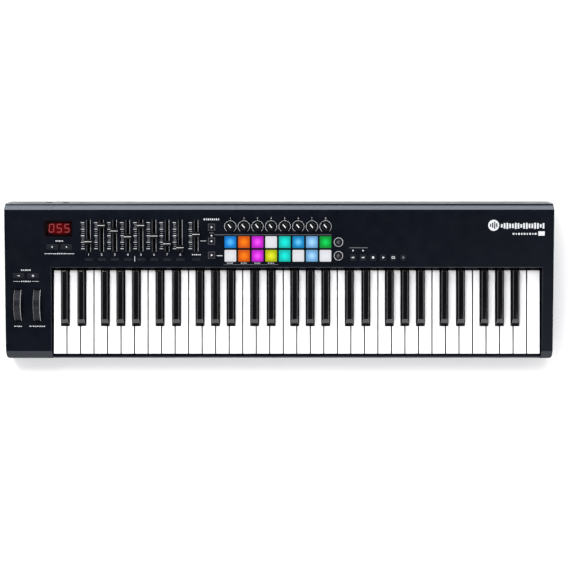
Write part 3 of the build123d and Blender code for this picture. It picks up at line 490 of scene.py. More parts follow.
def make_white_keys(node):
    shape = bmesh.new()
    for low, high in solid_boxes(node):
        left = black_keys_near(low.x - BLACK_OUTSIDE, low.x + BLACK_INSIDE)
        right = black_keys_near(high.x - BLACK_INSIDE, high.x + BLACK_OUTSIDE)
        cut_left = left[0][1].x + BLACK_CLEARANCE if left else None
        cut_right = right[0][0].x - BLACK_CLEARANCE if right else None
        points = white_key_outline(low.x + WHITE_NARROWING, high.x - WHITE_NARROWING,
                                   low.y, KEY_BACK, cut_left, cut_right)
        bottom = high.z - WHITE_DEPTH
        stack(shape, round_top(lambda i: inset(points, i), bottom, high.z, WHITE_EDGE))
        middle = ((cut_left or low.x) + (cut_right or high.x)) / 2
        # a white key's tail takes the grey painted shade
        key_tail(shape, middle, high.y, TAIL_SHADE_FINISH)
    # the keys' sides take the dark painted shade of the gaps
    refinish(shape, GAP_SHADE_FINISH, lambda n: abs(n.x) > 0.95)
    piece(f"{node}_shaped", shape, WHITE_FINISHES, node, replaces=(node,))


def black_level(middle, key_front, sizes, shrink=0.0):
    """Plan outline of a black key at one level, shrunk on all sides."""
    width, front_in, back_in = sizes
    front = key_front + front_in * MM + shrink
    back = KEY_BACK - back_in * MM - shrink
    centre = (middle, (front + back) / 2)
    return rounded_rectangle(width * MM - 2 * shrink, back - front, BLACK_CORNER, centre=centre)


def make_black_keys(node):
    """Tapered caps with a sloping front, a softly rounded top and a base that narrows below."""
    shape = bmesh.new()
    for low, high in solid_boxes(node):
        middle = (low.x + high.x) / 2
        base_height = high.z - BASE_DROP
        undercut = black_level(middle, low.y, BLACK_BASE, BLACK_UNDERCUT)
        rings = [
            (undercut, BLACK_LOW),
            (undercut, base_height - BLACK_GROOVE),
            (black_level(middle, low.y, BLACK_BASE), base_height),
            (black_level(middle, low.y, BLACK_KNEE), high.z - KNEE_DROP),
        ]
        rings += rounded_edge(lambda i: black_level(middle, low.y, BLACK_CROWN, i), high.z,
                              BLACK_EDGE, BLACK_EDGE_STEPS)
        stack(shape, rings)
        key_tail(shape, middle, high.y)
    # the walls, then the slope of the front; the top and its rounded edges stay glossy
    refinish(shape, DULL_FINISH, lambda n: abs(n.x) > 0.93 or not -0.8 <= n.y <= 0.2)
    refinish(shape, FRONT_FINISH, lambda n: n.y < -0.45)
    piece(f"{node}_shaped", shape, BLACK_FINISHES, node, replaces=(node,))


for number in OCTAVES:
    make_white_keys(f"white_keys_ceg_{number}")
    make_white_keys(f"white_keys_dfa_{number}")
    make_black_keys(f"black_keys_{number}")

# ------------------------------------------------------------------ print on the panel and the caps
BRIGHT, FAINT = 0, 1
INK_LOW, INK_HIGH = -0.02 * MM, 0.06 * MM
ARC_STEP = 8  # degrees
DISC_STEPS = 32
TYPE_SIZE = 1.38  # the typeface's nominal size over the height of its figures
DASH_SHARES = (0.62, 0.42, 0.7, 0.5, 0.6, 0.45)


class Print:
    """Flat marks, a few hundredths of a millimetre thick, in the panel's frame."""

    def __init__(self, level=0.0):
        self.shape = bmesh.new()
        self.level = level

    def polygon(self, points, ink=BRIGHT):
        rings = [(points, self.level + INK_LOW), (points, self.level + INK_HIGH)]
        stack(self.shape, rings, ink)

    def bar(self, x, v, width, length, ink=BRIGHT):
        half_x, half_v = width / 2, length / 2
        corners = ((-half_x, -half_v), (half_x, -half_v), (half_x, half_v), (-half_x, half_v))
        self.polygon([(x + a, v + b) for a, b in corners], ink)

    def frame(self, x, v, width, length, line, ink=BRIGHT):
        for side in (-1, 1):
            self.bar(x + side * (width - line) / 2, v, line, length, ink)
            self.bar(x, v + side * (length - line) / 2, width - 2 * line, line, ink)

    def arc(self, x, v, radius, line, start=0, end=360, ink=BRIGHT):
        """A ring, or part of one, as a band of short quads. Angles are from +x, anticlockwise."""
        steps = int((end - start) / ARC_STEP)
        angles = [radians(start + (end - start) * step / steps) for step in range(steps + 1)]
        inner = [(x + (radius - line) * cos(a), v + (radius - line) * sin(a)) for a in angles]
        outer = [(x + radius * cos(a), v + radius * sin(a)) for a in angles]
        for step in range(steps):
            self.polygon([inner[step], outer[step], outer[step + 1], inner[step + 1]], ink)

    def disc(self, x, v, radius, ink=BRIGHT):
        self.polygon(circle(radius, DISC_STEPS, (x, v)), ink)

    def triangle(self, x, v, size, direction):
        """An arrowhead that points to a direction, in degrees from +x."""
        angles = [radians(direction + turn) for turn in (0, 120, 240)]
        self.polygon([(x + size * cos(a), v + size * sin(a)) for a in angles])

    def digit(self, text, x, v, height):
        """A number in the built-in typeface, centred on (x, v)."""
        letters = bpy.data.curves.new("digit", "FONT")
        letters.body = text
        letters.size = height * TYPE_SIZE
        letters.align_x = "CENTER"
        letters.align_y = "CENTER"
        letters.extrude = (INK_HIGH - INK_LOW) / 2
        letters.resolution_u = 3
        thing = bpy.data.objects.new("digit", letters)
        mesh = bpy.data.meshes.new_from_object(thing)
        mesh.transform(Matrix.Translation((x, v, self.level + (INK_HIGH + INK_LOW) / 2)))
        first = len(self.shape.faces)
        self.shape.from_mesh(mesh)
        self.shape.faces.ensure_lookup_table()
        for face in self.shape.faces[first:]:
            face.material_index = BRIGHT
        bpy.data.objects.remove(thing)
        bpy.data.curves.remove(letters)
        bpy.data.meshes.remove(mesh)

    def dashes(self, x, v, width, height, ink=BRIGHT, count=5):
        """A plain row of short blocks where a caption would be."""
        pitch = width / count
        for number in range(count):
            share = DASH_SHARES[number % len(DASH_SHARES)]
            self.bar(x - width / 2 + pitch * (number + 0.5), v, pitch * share, height, ink)

    def finish(self, name, body, slot, materials=(INK, FAINT_INK)):
        return piece(name, self.shape, materials, body, PANEL)


panel = Print()

# ------------------------------------------------------------------ faders
FADERS = range(1, 10)
FADER_PITCH = 22.65 * MM
CAP_LOW, CAP_DIP, CAP_EDGE = 0.8 * MM, 2.2 * MM, 0.5 * MM
CAP_RIM, CAP_FOOT, FLANK_LEAN = 1.3 * MM, 3 * MM, 0.2 * MM
SHOULDER_WIDTH, SHOULDER_DROP = 0.4 * MM, 0.5 * MM
CAP_EDGE_STEPS = 3
HOLLOW_STEPS = 10
LEVER_HALF_WIDTH, LEVER_HALF_LENGTH = 0.7 * MM, 2 * MM
LEVER_LOW, LEVER_HIGH = -6 * MM, CAP_LOW + 0.5 * MM
INLAY_MARGIN, INLAY_HALF_LENGTH = 0.3 * MM, 0.45 * MM
INLAY_DEPTH, INLAY_RISE = 0.4 * MM, 0.15 * MM

TICKS, TICKS_PER_MAJOR = 13, 3
MAJOR_TICK, MINOR_TICK = (5.8 * MM, 1.0 * MM), (4.6 * MM, 0.34 * MM)  # width and line
MIDDLE_TICK_LINE = 1.3 * MM
TICK_GAP = 7.4 * MM
GUIDE_LENGTH = 55 * MM
FADER_LABEL_V = 42.9 * MM


def cap_profile(half, top):
    """Side view of a fader's cap, with a hollow for the finger between two rims."""
    rim = half - CAP_RIM
    flank = [
        (half, CAP_LOW), (half - FLANK_LEAN, CAP_LOW + CAP_FOOT),
        (rim + SHOULDER_WIDTH, top - SHOULDER_DROP), (rim, top),
    ]
    turns = [pi * step / HOLLOW_STEPS for step in range(1, HOLLOW_STEPS)]
    hollow = [(rim * cos(turn), top - CAP_DIP * sin(turn)) for turn in turns]
    return [(-half, CAP_LOW)] + flank + hollow + [(-y, z) for y, z in reversed(flank[1:])]


def make_fader(node, low, high):
    """A cap on its lever, with a white line inlaid across the hollow."""
    half_width, top = (high.x - low.x) / 2, high.z
    profile = cap_profile((high.y - low.y) / 2, top)
    rings = [
        (inset(profile, CAP_EDGE * (1 - sin(angle))), -half_width + CAP_EDGE * (1 - cos(angle)))
        for angle in quarter_turn(CAP_EDGE_STEPS)
    ]
    rings += [(points, -height) for points, height in reversed(rings)]
    shape = bmesh.new()
    stack(shape, rings)
    shape.transform(ALONG_X)
    block(shape, -LEVER_HALF_WIDTH, LEVER_HALF_WIDTH, -LEVER_HALF_LENGTH, LEVER_HALF_LENGTH,
          LEVER_LOW, LEVER_HIGH)
    line_end, line_z = half_width - INLAY_MARGIN, top - CAP_DIP
    block(shape, -line_end, line_end, -INLAY_HALF_LENGTH, INLAY_HALF_LENGTH,
          line_z - INLAY_DEPTH, line_z + INLAY_RISE, 1)
    place = PANEL @ Matrix.Translation((*middle_of(low, high), 0))
    piece(f"{node}_shaped", shape, [CAP, POINTER], node, place, replaces=(node,))


def print_fader_scale(node, x, v):
    """Ticks and guide lines beside the slot of a fader, over the whole of its travel."""
    start, end = (v + limit for limit in JOINTS[f"{node}_slide"]["range_m"])
    for tick in range(TICKS):
        tick_v = start + (end - start) * tick / (TICKS - 1)
        width, line = MINOR_TICK if tick % TICKS_PER_MAJOR else MAJOR_TICK
        if tick == TICKS // 2:
            line = MIDDLE_TICK_LINE
        panel.bar(x - TICK_GAP - width / 2, tick_v, width, line)
    middle = (start + end) / 2
    panel.bar(x - 3.6 * MM, middle, 0.4 * MM, GUIDE_LENGTH, FAINT)
    panel.bar(x + 3.1 * MM, middle, 0.35 * MM, GUIDE_LENGTH)


for number in FADERS:
    node = f"fader_{number}"
    (low, high), = solid_boxes(node, TO_PANEL)
    x, v = middle_of(low, high)
    make_fader(node, low, high)
    print_fader_scale(node, x, v)
    if number == FADERS[-1]:
        panel.dashes(x, FADER_LABEL_V, 16 * MM, 1.8 * MM)
    else:
        panel.digit(str(number), x - 0.5 * MM, FADER_LABEL_V, 4.2 * MM)

# ------------------------------------------------------------------ knobs
FLUTES = 18
FLUTE_STEPS = 108
# radius, depth of the flutes and height over the panel, in mm, from the skirt to the dished top
KNOB_LEVELS = (
    (7.0, 0.0, 0.7), (7.0, 0.0, 1.9), (6.7, 0.05, 2.3), (6.35, 0.35, 2.8), (5.9, 0.4, 10.8),
    (5.75, 0.3, 11.8), (5.4, 0.1, 12.5), (4.9, 0.0, 12.8), (4.4, 0.0, 12.75), (1.0, 0.0, 12.6),
)
KNOB_RADIUS = 7.0 * MM
SHAFT_RADIUS, SHAFT_STEPS, SHAFT_LOW, SHAFT_HIGH = 3 * MM, 24, -8 * MM, 0.8 * MM
POINTER_TURN = radians(38)
POINTER_HALF_WIDTH, POINTER_BACK, POINTER_FRONT = 0.75 * MM, -2.2 * MM, 5.0 * MM
POINTER_LOW, POINTER_HIGH = 12.3 * MM, 12.95 * MM
SCALE_RADIUS, SCALE_LINE, SCALE_START, SCALE_END = 10.3 * MM, 0.5 * MM, -52, 232
SCALE_MARK_RISE, KNOB_NUMBER_RISE, KNOB_NUMBER_HEIGHT = 11.0 * MM, 14.1 * MM, 3.1 * MM


def fluted(radius, depth):
    """A circle with finger flutes pressed into it."""
    points = []
    for step in range(FLUTE_STEPS):
        angle = 2 * pi * step / FLUTE_STEPS
        dent = max(0.0, cos(FLUTES * angle)) ** 2 * depth
        points.append(((radius - dent) * cos(angle), (radius - dent) * sin(angle)))
    return points


def make_knob(node, low, high):
    """A fluted knob on its shaft, with an inlaid pointer that stands where the knob was left."""
    scale = (high.x - low.x) / 2 / KNOB_RADIUS
    shape = bmesh.new()
    stack(shape, [(fluted(r * MM * scale, d * MM), z * MM) for r, d, z in KNOB_LEVELS])
    shaft = circle(SHAFT_RADIUS, SHAFT_STEPS)
    stack(shape, [(shaft, SHAFT_LOW), (shaft, SHAFT_HIGH)])
    ends = block(shape, -POINTER_HALF_WIDTH, POINTER_HALF_WIDTH, POINTER_BACK, POINTER_FRONT,
                 POINTER_LOW, POINTER_HIGH, 1)
    turn = Matrix.Rotation(POINTER_TURN, 4, "Z")
    bmesh.ops.transform(shape, matrix=turn, verts=ends[0] + ends[1])
    place = PANEL @ Matrix.Translation((*middle_of(low, high), 0))
    piece(f"{node}_shaped", shape, [KNOB, POINTER], node, place,
          replaces=(node,), sharp=55)


for number in range(1, 9):
    node = f"knob_{number}"
    (low, high), = solid_boxes(node, TO_PANEL)
    x, v = middle_of(low, high)
    make_knob(node, low, high)
    # printed scale, open towards the player, with a mark and a number above it
    panel.arc(x, v, SCALE_RADIUS, SCALE_LINE, SCALE_START, SCALE_END)
    panel.bar(x, v + SCALE_MARK_RISE, 0.6 * MM, 1.4 * MM)
    panel.digit(str(number), x, v + KNOB_NUMBER_RISE, KNOB_NUMBER_HEIGHT)

# ------------------------------------------------------------------ pads
PAD_COLOURS = {
    "blue": (srgb(30, 138, 228), srgb(100, 205, 255)),
    "orange": (srgb(240, 104, 26), srgb(255, 142, 12)),
    "magenta": (srgb(218, 44, 228), srgb(255, 95, 255)),
    "turquoise": (srgb(30, 214, 200), srgb(15, 250, 238)),
    "sky": (srgb(32, 150, 216), srgb(125, 220, 255)),
    "ice": (srgb(128, 188, 240), srgb(182, 230, 255)),
    "green": (srgb(20, 172, 68), srgb(12, 235, 100)),
    "lime": (srgb(204, 212, 28), srgb(243, 248, 55)),
    "white": (srgb(226, 226, 232), srgb(230, 232, 236)),
}
PAD_LAYOUT = {
    "upper": ("blue", "orange", "magenta", "white", "turquoise", "sky", "ice", "green"),
    "lower": ("white", "orange", "magenta", "lime", "turquoise", "white", "ice", "white"),
}
PAD_SIDE, PAD_CORNER, PAD_EDGE = 20.0 * MM, 1.6 * MM, 0.9 * MM
PAD_CORNER_SHARE = 0.6  # how much an inset takes off the corner's radius
PAD_SHOULDER = 0.25 * MM  # how far the edge is below the top
PAD_CROWN = ((2.5, 0.12), (5, 0.03), (8, 0.0))  # distance from the side and below the top, in mm
RIM_SHARE, WHITE_RIM_SHARE = 0.62, 0.9

pad_materials = {
    name: glowing(f"pad_{name}", edge, centre, PAD_SIDE / 2,
                  WHITE_RIM_SHARE if name == "white" else RIM_SHARE)
    for name, (edge, centre) in PAD_COLOURS.items()
}


def pad_outline(shrink):
    side = PAD_SIDE - 2 * shrink
    return rounded_rectangle(side, side, PAD_CORNER - shrink * PAD_CORNER_SHARE)


for row, colours in PAD_LAYOUT.items():
    node = f"pads_{row}_row"
    pads = zip(solid_boxes(node, TO_PANEL), colours)
    for number, ((low, high), colour) in enumerate(pads, start=1):
        rings = round_top(pad_outline, low.z, high.z - PAD_SHOULDER, PAD_EDGE)
        rings += [(pad_outline(side * MM), high.z - drop * MM) for side, drop in PAD_CROWN]
        shape = bmesh.new()
        stack(shape, rings)
        piece(f"pad_{row}_{number}", shape, [pad_materials[colour]], node, PANEL,
              replaces=(node,) if number == 1 else (), origin=(*middle_of(low, high), 0))

# ------------------------------------------------------------------ buttons
BUTTON_EDGE = 0.5 * MM
BUTTON_CORNER_SHARE, BUTTON_CORNER_STEPS = 0.5, 6
LEFTWARDS, RIGHTWARDS, UPWARDS, DOWNWARDS = 180, 0, 90, -90


def button_outline(low, high, corner, shrink):
    width, length = high.x - low.x - 2 * shrink, high.y - low.y - 2 * shrink
    return rounded_rectangle(width, length, corner - shrink * BUTTON_CORNER_SHARE,
                             BUTTON_CORNER_STEPS, middle_of(low, high))


def make_buttons(node, corner, last_corner=None):
    """Rounded silicone buttons over a group's solids; the last may have a corner of its own.

    Returns the middle of each, and a Print on their tops."""
    shape = bmesh.new()
    boxes = solid_boxes(node, TO_PANEL)
    corners = [corner] * (len(boxes) - 1) + [last_corner or corner]
    for (low, high), corner in zip(boxes, corners):
        rings = round_top(lambda i: button_outline(low, high, corner, i), low.z, high.z,
                          BUTTON_EDGE)
        stack(shape, rings)
    piece(f"{node}_shaped", shape, [BUTTON], node, PANEL, replaces=(node,))
    return [middle_of(low, high) for low, high in boxes], Print(boxes[-1][1].z)


make_buttons("fader_buttons", 0.8 * MM)

track, marks = make_buttons("track_buttons", 1.0 * MM)
for (x, v), direction in zip(track, (LEFTWARDS, RIGHTWARDS)):
    marks.triangle(x, v, 1.7 * MM, direction)
marks.finish("track_marks", "track_buttons", "button_rubber")

octave, marks = make_buttons("octave_buttons", 1.0 * MM)
for x, v in octave:
    marks.bar(x, v, 4.2 * MM, 1.0 * MM)
plus_x, plus_v = octave[1]
for side in (1, -1):
    marks.bar(plus_x, plus_v + side * 1.3 * MM, 1.0 * MM, 1.6 * MM)
marks.finish("octave_marks", "octave_buttons", "button_rubber")

# back, forward, stop, play, loop and a round record button
transport, marks = make_buttons("transport_buttons", 1.2 * MM, last_corner=5.4 * MM)
for (x, v), direction in zip(transport[:2], (LEFTWARDS, RIGHTWARDS)):
    for side in (-1.2, 1.2):
        marks.triangle(x + side * MM, v, 1.6 * MM, direction)
marks.bar(*transport[2], 3.4 * MM, 3.4 * MM)
marks.triangle(*transport[3], 2.4 * MM, RIGHTWARDS)
marks.frame(*transport[4], 5.4 * MM, 3.8 * MM, 0.8 * MM)
marks.disc(*transport[5], 1.9 * MM, FAINT)
marks.finish("transport_marks", "transport_buttons", "button_rubber")

page, marks = make_buttons("page_buttons", 0.8 * MM)
for (x, v), direction in zip(page, (RIGHTWARDS, LEFTWARDS, RIGHTWARDS)):
    marks.triangle(x, v, 2.3 * MM, direction)
marks.finish("page_marks", "page_buttons", "button_rubber")

scene_places, marks = make_buttons("scene_buttons", 7.0 * MM)
for x, v in scene_places:
    marks.arc(x, v, 2.6 * MM, 0.8 * MM, 30, 300, FAINT)
    marks.disc(x, v, 0.9 * MM, FAINT)
    panel.arc(x, v, 7.9 * MM, 0.75 * MM)
marks.finish("scene_marks", "scene_buttons", "button_rubber")

# ------------------------------------------------------------------ the rest of the panel's print
PAGE_FRAME = 11.6 * MM
PAD_PITCH, LABELLED_PADS = 23.5 * MM, 4
BANNER_GAP = 5 * MM  # between the dot over the page buttons and the line over the pads
for x, v in page:
    panel.frame(x, v, PAGE_FRAME, PAGE_FRAME, 0.6 * MM, FAINT)
page_x = page[0][0]
panel.disc(page_x, 75.8 * MM, 1.4 * MM)
panel.dashes(page_x, 80.6 * MM, 8 * MM, 1.4 * MM, FAINT, 3)
panel.dashes(page_x, 104 * MM, 28 * MM, 3.0 * MM, count=8)
panel.bar(page_x - 14.5 * MM, 66.8 * MM, 9.6 * MM, 0.8 * MM)
panel.bar(page_x + 14 * MM, 41.2 * MM, 10 * MM, 1.0 * MM)

pad_left, pad_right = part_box("pads_upper_row")[0].x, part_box("pads_upper_row")[1].x
panel.bar((page_x + BANNER_GAP + pad_right) / 2, 77.4 * MM, pad_right - page_x - BANNER_GAP,
          0.9 * MM, FAINT)
panel.bar(pad_left + 46 * MM, 25.8 * MM, 94 * MM, 0.6 * MM, FAINT)
for number in range(LABELLED_PADS):
    panel.dashes(pad_left + 10 * MM + PAD_PITCH * number, 28.4 * MM, 11 * MM, 1.5 * MM, count=4)

panel.bar(transport[0][0] + 9.5 * MM, 55 * MM, 32 * MM, 1.0 * MM, FAINT)
for (x, v), direction in zip(transport[:2], (UPWARDS, DOWNWARDS)):
    panel.triangle(x, v + 12 * MM, 2.0 * MM, direction)

track_x = (track[0][0] + track[1][0]) / 2
panel.dashes(track_x, 66.6 * MM, 14 * MM, 2.0 * MM)
for side in (-1, 1):
    panel.bar(track_x + side * 18.5 * MM, 44.7 * MM, 14 * MM, 0.75 * MM)
panel.dashes(track_x, 44.7 * MM, 22 * MM, 1.8 * MM, count=7)

first_fader = (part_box("fader_1")[0].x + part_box("fader_1")[1].x) / 2
panel.bar(first_fader + 3.5 * FADER_PITCH, 35.5 * MM, 0.9 * MM, 9 * MM)

octave_x = (octave[0][0] + octave[1][0]) / 2
panel.dashes(octave_x, 16.2 * MM, 18 * MM, 2.0 * MM)
for side in (-1, 1):
    panel.bar(octave_x + side * 16 * MM, -3.4 * MM, 12 * MM, 0.5 * MM)
panel.dashes(octave_x, -3.4 * MM, 18 * MM, 1.8 * MM, count=6)

for node, width, count in (("pitch_wheel", 14, 4), ("mod_wheel", 28, 9)):
    low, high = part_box(node)
    panel.dashes((low.x + high.x) / 2, -81.5 * MM, width * MM, 1.8 * MM, count=count)

# generic mark at the right: a disc with level bars in it, a row of bars like a sound wave, a row of
# dashes and a small block
MARK_X, MARK_V, MARK_RADIUS = 370.5 * MM, 93.8 * MM, 9.6 * MM
LEVEL_LENGTHS, LEVEL_PITCH, LEVEL_WIDTH = (5, 9, 12, 7), 3.6 * MM, 2.0 * MM
WAVE_LEFT, WAVE_V, WAVE_BARS = 384.5 * MM, 92.8 * MM, 16
WAVE_PITCH, WAVE_WIDTH, WAVE_LENGTH = 4.8 * MM, 3.0 * MM, 10.5 * MM

panel.disc(MARK_X, MARK_V, MARK_RADIUS)
level_bars = Print(INK_HIGH)
for number, length in enumerate(LEVEL_LENGTHS):
    x = MARK_X + (number - (len(LEVEL_LENGTHS) - 1) / 2) * LEVEL_PITCH
    level_bars.bar(x, MARK_V, LEVEL_WIDTH, length * MM)
level_bars.finish("mark_bars", "case", "case_plastic", (CASE,))
for number in range(WAVE_BARS):
    swell = 0.55 + 0.45 * abs(sin(number * 0.9))
    panel.bar(WAVE_LEFT + number * WAVE_PITCH, WAVE_V, WAVE_WIDTH, WAVE_LENGTH * swell)
panel.dashes(424 * MM, 79 * MM, 43 * MM, 3.0 * MM, count=9)
panel.bar(453.3 * MM, 79.6 * MM, 11 * MM, 7.5 * MM)
panel.finish("panel_print", "case", "case_plastic")

# ------------------------------------------------------------------ display
FIGURES = "055"
SEGMENTS = {"0": "abcdef", "5": "acdfg"}
DIGIT_WIDTH, DIGIT_HEIGHT, DIGIT_PITCH = 9.2 * MM, 15.0 * MM, 13.3 * MM
STROKE, SEGMENT_GAP = 1.6 * MM, 0.8 * MM
DIGIT_LEAN, DIGIT_RAISE = 0.08, 0.8 * MM
DIGIT_SINK = 0.15 * MM
GLOW_REACH = (24.0 * MM, 14.5 * MM, 1e6)  # it has no limit in depth

(low, high), = solid_boxes("display_window", TO_PANEL)
centre = (low + high) / 2
digits = Print(low.z - DIGIT_SINK)


def segment_bar(name, x, v):
    """Draws one of the seven bars of a digit centred on (x, v), leaning slightly to the right."""
    across, half = DIGIT_WIDTH - STROKE, DIGIT_HEIGHT / 2 - STROKE / 2
    flat = {"a": half, "g": 0.0, "d": -half}
    upright = {"f": (-1, 1), "b": (1, 1), "e": (-1, -1), "c": (1, -1)}
    if name in flat:
        rise = flat[name]
        digits.bar(x + rise * DIGIT_LEAN, v + rise, across - SEGMENT_GAP, STROKE)
    else:
        side, level = upright[name]
        rise = level * half / 2
        digits.bar(x + side * across / 2 + rise * DIGIT_LEAN, v + rise, STROKE, half - SEGMENT_GAP)


for number, figure in enumerate(FIGURES):
    x = centre.x + (number - len(FIGURES) // 2) * DIGIT_PITCH
    for name in SEGMENTS[figure]:
        segment_bar(name, x, centre.y + DIGIT_RAISE)
digits.finish("display_digits", "case", "display_body", (DIGIT,))

# dark printed border round the window, widest on the left
border_left, border_right = low.x - 3.8 * MM, high.x + 0.5 * MM
border_low, border_high = low.y - 1.9 * MM, high.y + 2.4 * MM
bezel = Print()
for x0, x1, v0, v1 in (
    (border_left, low.x, low.y, high.y),
    (high.x, border_right, low.y, high.y),
    (border_left, border_right, high.y, border_high),
    (border_left, border_right, border_low, low.y),
):
    bezel.bar((x0 + x1) / 2, (v0 + v1) / 2, x1 - x0, v1 - v0)
bezel.finish("display_border", "case", "case_plastic", (BEZEL,))

glow, tree, shader = node_material("display_glow")
mapping = tree.nodes.new("ShaderNodeMapping")
mapping.vector_type = "TEXTURE"
middle = PANEL @ centre
mapping.inputs["Location"].default_value = (middle.x, middle.y, 0)
mapping.inputs["Scale"].default_value = GLOW_REACH
tree.links.new(coordinates(tree), mapping.inputs["Vector"])
distance = length_of(tree, mapping.outputs["Vector"])
light = ramp(tree, distance, ((0.4, srgb(112, 0, 6)), (1.0, srgb(24, 0, 4))), "EASE")
tree.links.new(light, shader.inputs["Emission Color"])
shader.inputs["Emission Strength"].default_value = 1.0
shader.inputs["Base Color"].default_value = srgb(8, 0, 1)
shader.inputs["Specular IOR Level"].default_value = 0.1
tree.links.new(spread(tree, noise(tree, 600, 2), 0.4, 0.6), shader.inputs["Roughness"])
paint("display_module", glow)

glass, tree, shader = node_material("display_glass")
shader.inputs["Base Color"].default_value = srgb(14, 1, 2)
shader.inputs["Alpha"].default_value = 0.25
shader.inputs["Specular IOR Level"].default_value = 0.3
tree.links.new(spread(tree, noise(tree, 60, 3), 0.06, 0.16), shader.inputs["Roughness"])
bumps(tree, shader, noise(tree, 30, 2), 0.02, 0.05 * MM)
paint("display_window", glass)

# ------------------------------------------------------------------ wheels
WHEEL_HUB, WHEEL_SECTOR = 8 * MM, 80  # the sector reaches this many degrees either way from the top
SECTOR_STEPS, HUB_STEPS = 160, 12
HUB_START, HUB_SWEEP = 110, 140
SIDE_WIDTH, SIDE_ROUND = 1.3 * MM, 1.0 * MM
SIDE_SINK, SIDE_OVERLAP = 0.2 * MM, 0.05 * MM
NOTCH_RADIUS, NOTCH_DEPTH = 16 * MM, 2.7 * MM
LIP_ANGLE, LIP_SHARE = 4.5, 0.2
SIDE_ROUND_STEPS = 5
GROOVES = 7
GROOVE_DROP = 0.9
# share of a groove's pitch, and how far the tread is below the rim there, in mm
TREAD_PROFILE = ((0.08, GROOVE_DROP), (0.3, 0.6), (0.7, 0.6), (0.92, GROOVE_DROP))


def make_wheel(node):
    """A ribbed wheel with smooth sides and a scooped notch, built round its axle."""
    axle = Vector(JOINTS[f"{node}_turn"]["pos_m"])
    low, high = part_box(node)
    half, radius = (high.x - low.x) / 2, high.z - axle.z
    notch_distance = radius + NOTCH_RADIUS - NOTCH_DEPTH
    notch_half_angle = degrees(acos(
        (radius**2 + notch_distance**2 - NOTCH_RADIUS**2) / (2 * radius * notch_distance)
    ))

    def side_reach(angle):
        return radius

    def tread_reach(angle):
        """Radius of the tread at an angle from straight up, with the finger notch scooped out."""
        across = notch_distance * sin(radians(angle))
        if abs(across) < NOTCH_RADIUS:
            scoop = notch_distance * cos(radians(angle)) - (NOTCH_RADIUS**2 - across**2) ** 0.5
            return min(radius, scoop)
        return radius

    def outline(reach, drop, lipped=False):
        """Points round the sector and its hub, lowered by drop, but less on the notch's lips."""
        points = []
        for step in range(SECTOR_STEPS + 1):
            angle = -WHEEL_SECTOR + 2 * WHEEL_SECTOR * step / SECTOR_STEPS
            on_lip = lipped and 0 < abs(angle) - notch_half_angle < LIP_ANGLE
            length = reach(angle) - (drop * LIP_SHARE if on_lip else drop)
            points.append((length * sin(radians(angle)), length * cos(radians(angle))))
        for step in range(HUB_STEPS + 1):
            angle = radians(HUB_START + HUB_SWEEP * step / HUB_STEPS)
            points.append(((WHEEL_HUB - drop) * sin(angle), (WHEEL_HUB - drop) * cos(angle)))
        return points[::-1]

    tread, sides = bmesh.new(), bmesh.new()
    inner = half - SIDE_WIDTH
    pitch = 2 * inner / GROOVES
    rings = [(outline(tread_reach, GROOVE_DROP * MM), -inner)]
    for number in range(GROOVES):
        start = -inner + 2 * inner * number / GROOVES
        for share, drop in TREAD_PROFILE:
            rings.append((outline(tread_reach, drop * MM, lipped=True), start + share * pitch))
    rings.append((outline(tread_reach, GROOVE_DROP * MM), inner))
    stack(tread, rings)
    for sign in (-1, 1):
        rings = [(outline(side_reach, SIDE_SINK), sign * (inner - SIDE_OVERLAP))]
        for turn in quarter_turn(SIDE_ROUND_STEPS):
            across = half - SIDE_ROUND + SIDE_ROUND * sin(turn)
            rings.append((outline(side_reach, SIDE_ROUND * (1 - cos(turn))), sign * across))
        stack(sides, rings if sign > 0 else rings[::-1])
    # only the rounded edge that faces right keeps the lighter colour, a painted highlight; the rest
    # of the sides are dark
    refinish(sides, 1, lambda n: not 0.05 <= n.z <= 0.9)
    place = Matrix.Translation(axle) @ ALONG_X
    piece(f"{node}_tread", tread, [WHEEL], node, place, replaces=(node,), sharp=50)
    piece(f"{node}_sides", sides, [WHEEL_RIM_HIGHLIGHT, BLACK_WALL], node, place, sharp=30)


make_wheel("pitch_wheel")
make_wheel("mod_wheel")

# ------------------------------------------------------------------ floor, lights and camera
FLOOR_HALF_SIZE = 8
WORLD_STRENGTH = 2.2
# the studio's wall and ceiling: brightness of the light from each height, 1 being straight up
SKY_STOPS = (
    (0.0, (1, 1, 1, 1)), (0.4, (0.75, 0.75, 0.765, 1)), (0.7, (0.5, 0.5, 0.51, 1)),
    (0.9, (0.012, 0.012, 0.016, 1)),
)

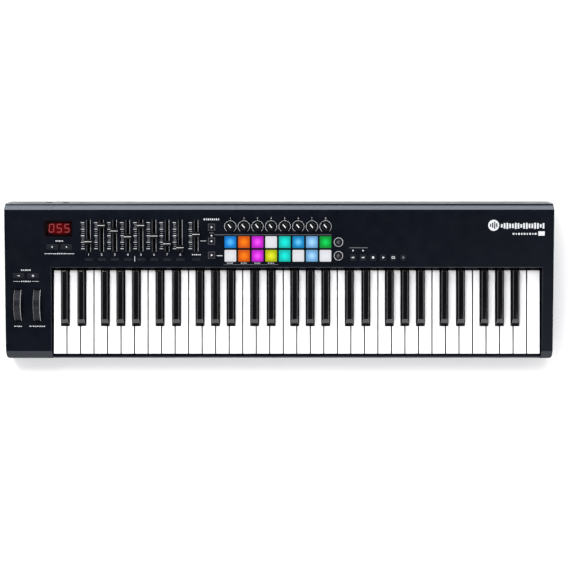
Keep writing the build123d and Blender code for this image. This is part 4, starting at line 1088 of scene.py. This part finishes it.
floor_material, tree, shader = node_material("studio_floor")
shader.inputs["Base Color"].default_value = (0.86, 0.86, 0.86, 1)
shader.inputs["Roughness"].default_value = 0.9
shader.inputs["Specular IOR Level"].default_value = 0.0
shape = bmesh.new()
bmesh.ops.create_grid(shape, x_segments=8, y_segments=8, size=FLOOR_HALF_SIZE)
mesh = bpy.data.meshes.new("floor")
shape.to_mesh(mesh)
shape.free()
mesh.materials.append(floor_material)
floor = bpy.data.objects.new("floor", mesh)
bpy.context.scene.collection.objects.link(floor)


def softbox(name, place, target, width, height, radiance, mirrored=True):
    """A rectangular light whose surface has the given radiance, aimed at a target."""
    light = bpy.data.lights.new(name, "AREA")
    light.shape = "RECTANGLE"
    light.size, light.size_y = width, height
    light.energy = radiance * pi * width * height
    thing = bpy.data.objects.new(name, light)
    thing.visible_glossy = mirrored
    thing.location = place
    thing.rotation_euler = (Vector(target) - Vector(place)).to_track_quat("-Z", "Y").to_euler()
    bpy.context.scene.collection.objects.link(thing)


softbox("rear_light", (0, 2.7, 0.98), (0, 0, 0), 3.4, 0.8, 11.8, mirrored=False)
softbox("key_light", (-1.2, 1.6, 2.3), (0, 0, 0), 1.1, 1.1, 16.0)
softbox("front_light", (0.2, -2.2, 2.3), (0, 0, 0), 1.8, 1.0, 6.5)
softbox("right_light", (1.0, -0.85, 2.6), (0.3, -0.1, 0), 0.7, 0.9, 0.9)

world = bpy.data.worlds.new("studio")
bpy.context.scene.world = world
world.use_nodes = True
tree = world.node_tree
background = tree.nodes["Background"]
sky = ramp(tree, axis_of(tree, coordinates(tree, "Generated"), "Z"), SKY_STOPS)
tree.links.new(sky, background.inputs["Color"])
background.inputs["Strength"].default_value = WORLD_STRENGTH

lens = bpy.data.cameras.new("camera")
lens.sensor_width = 36
lens.lens = 97.1
lens.clip_end = 50
camera = bpy.data.objects.new("camera", lens)
camera.location = (0.010, -0.0096, 2.72)
bpy.context.scene.collection.objects.link(camera)
bpy.context.scene.camera = camera
bpy.context.scene.view_settings.view_transform = "Standard"
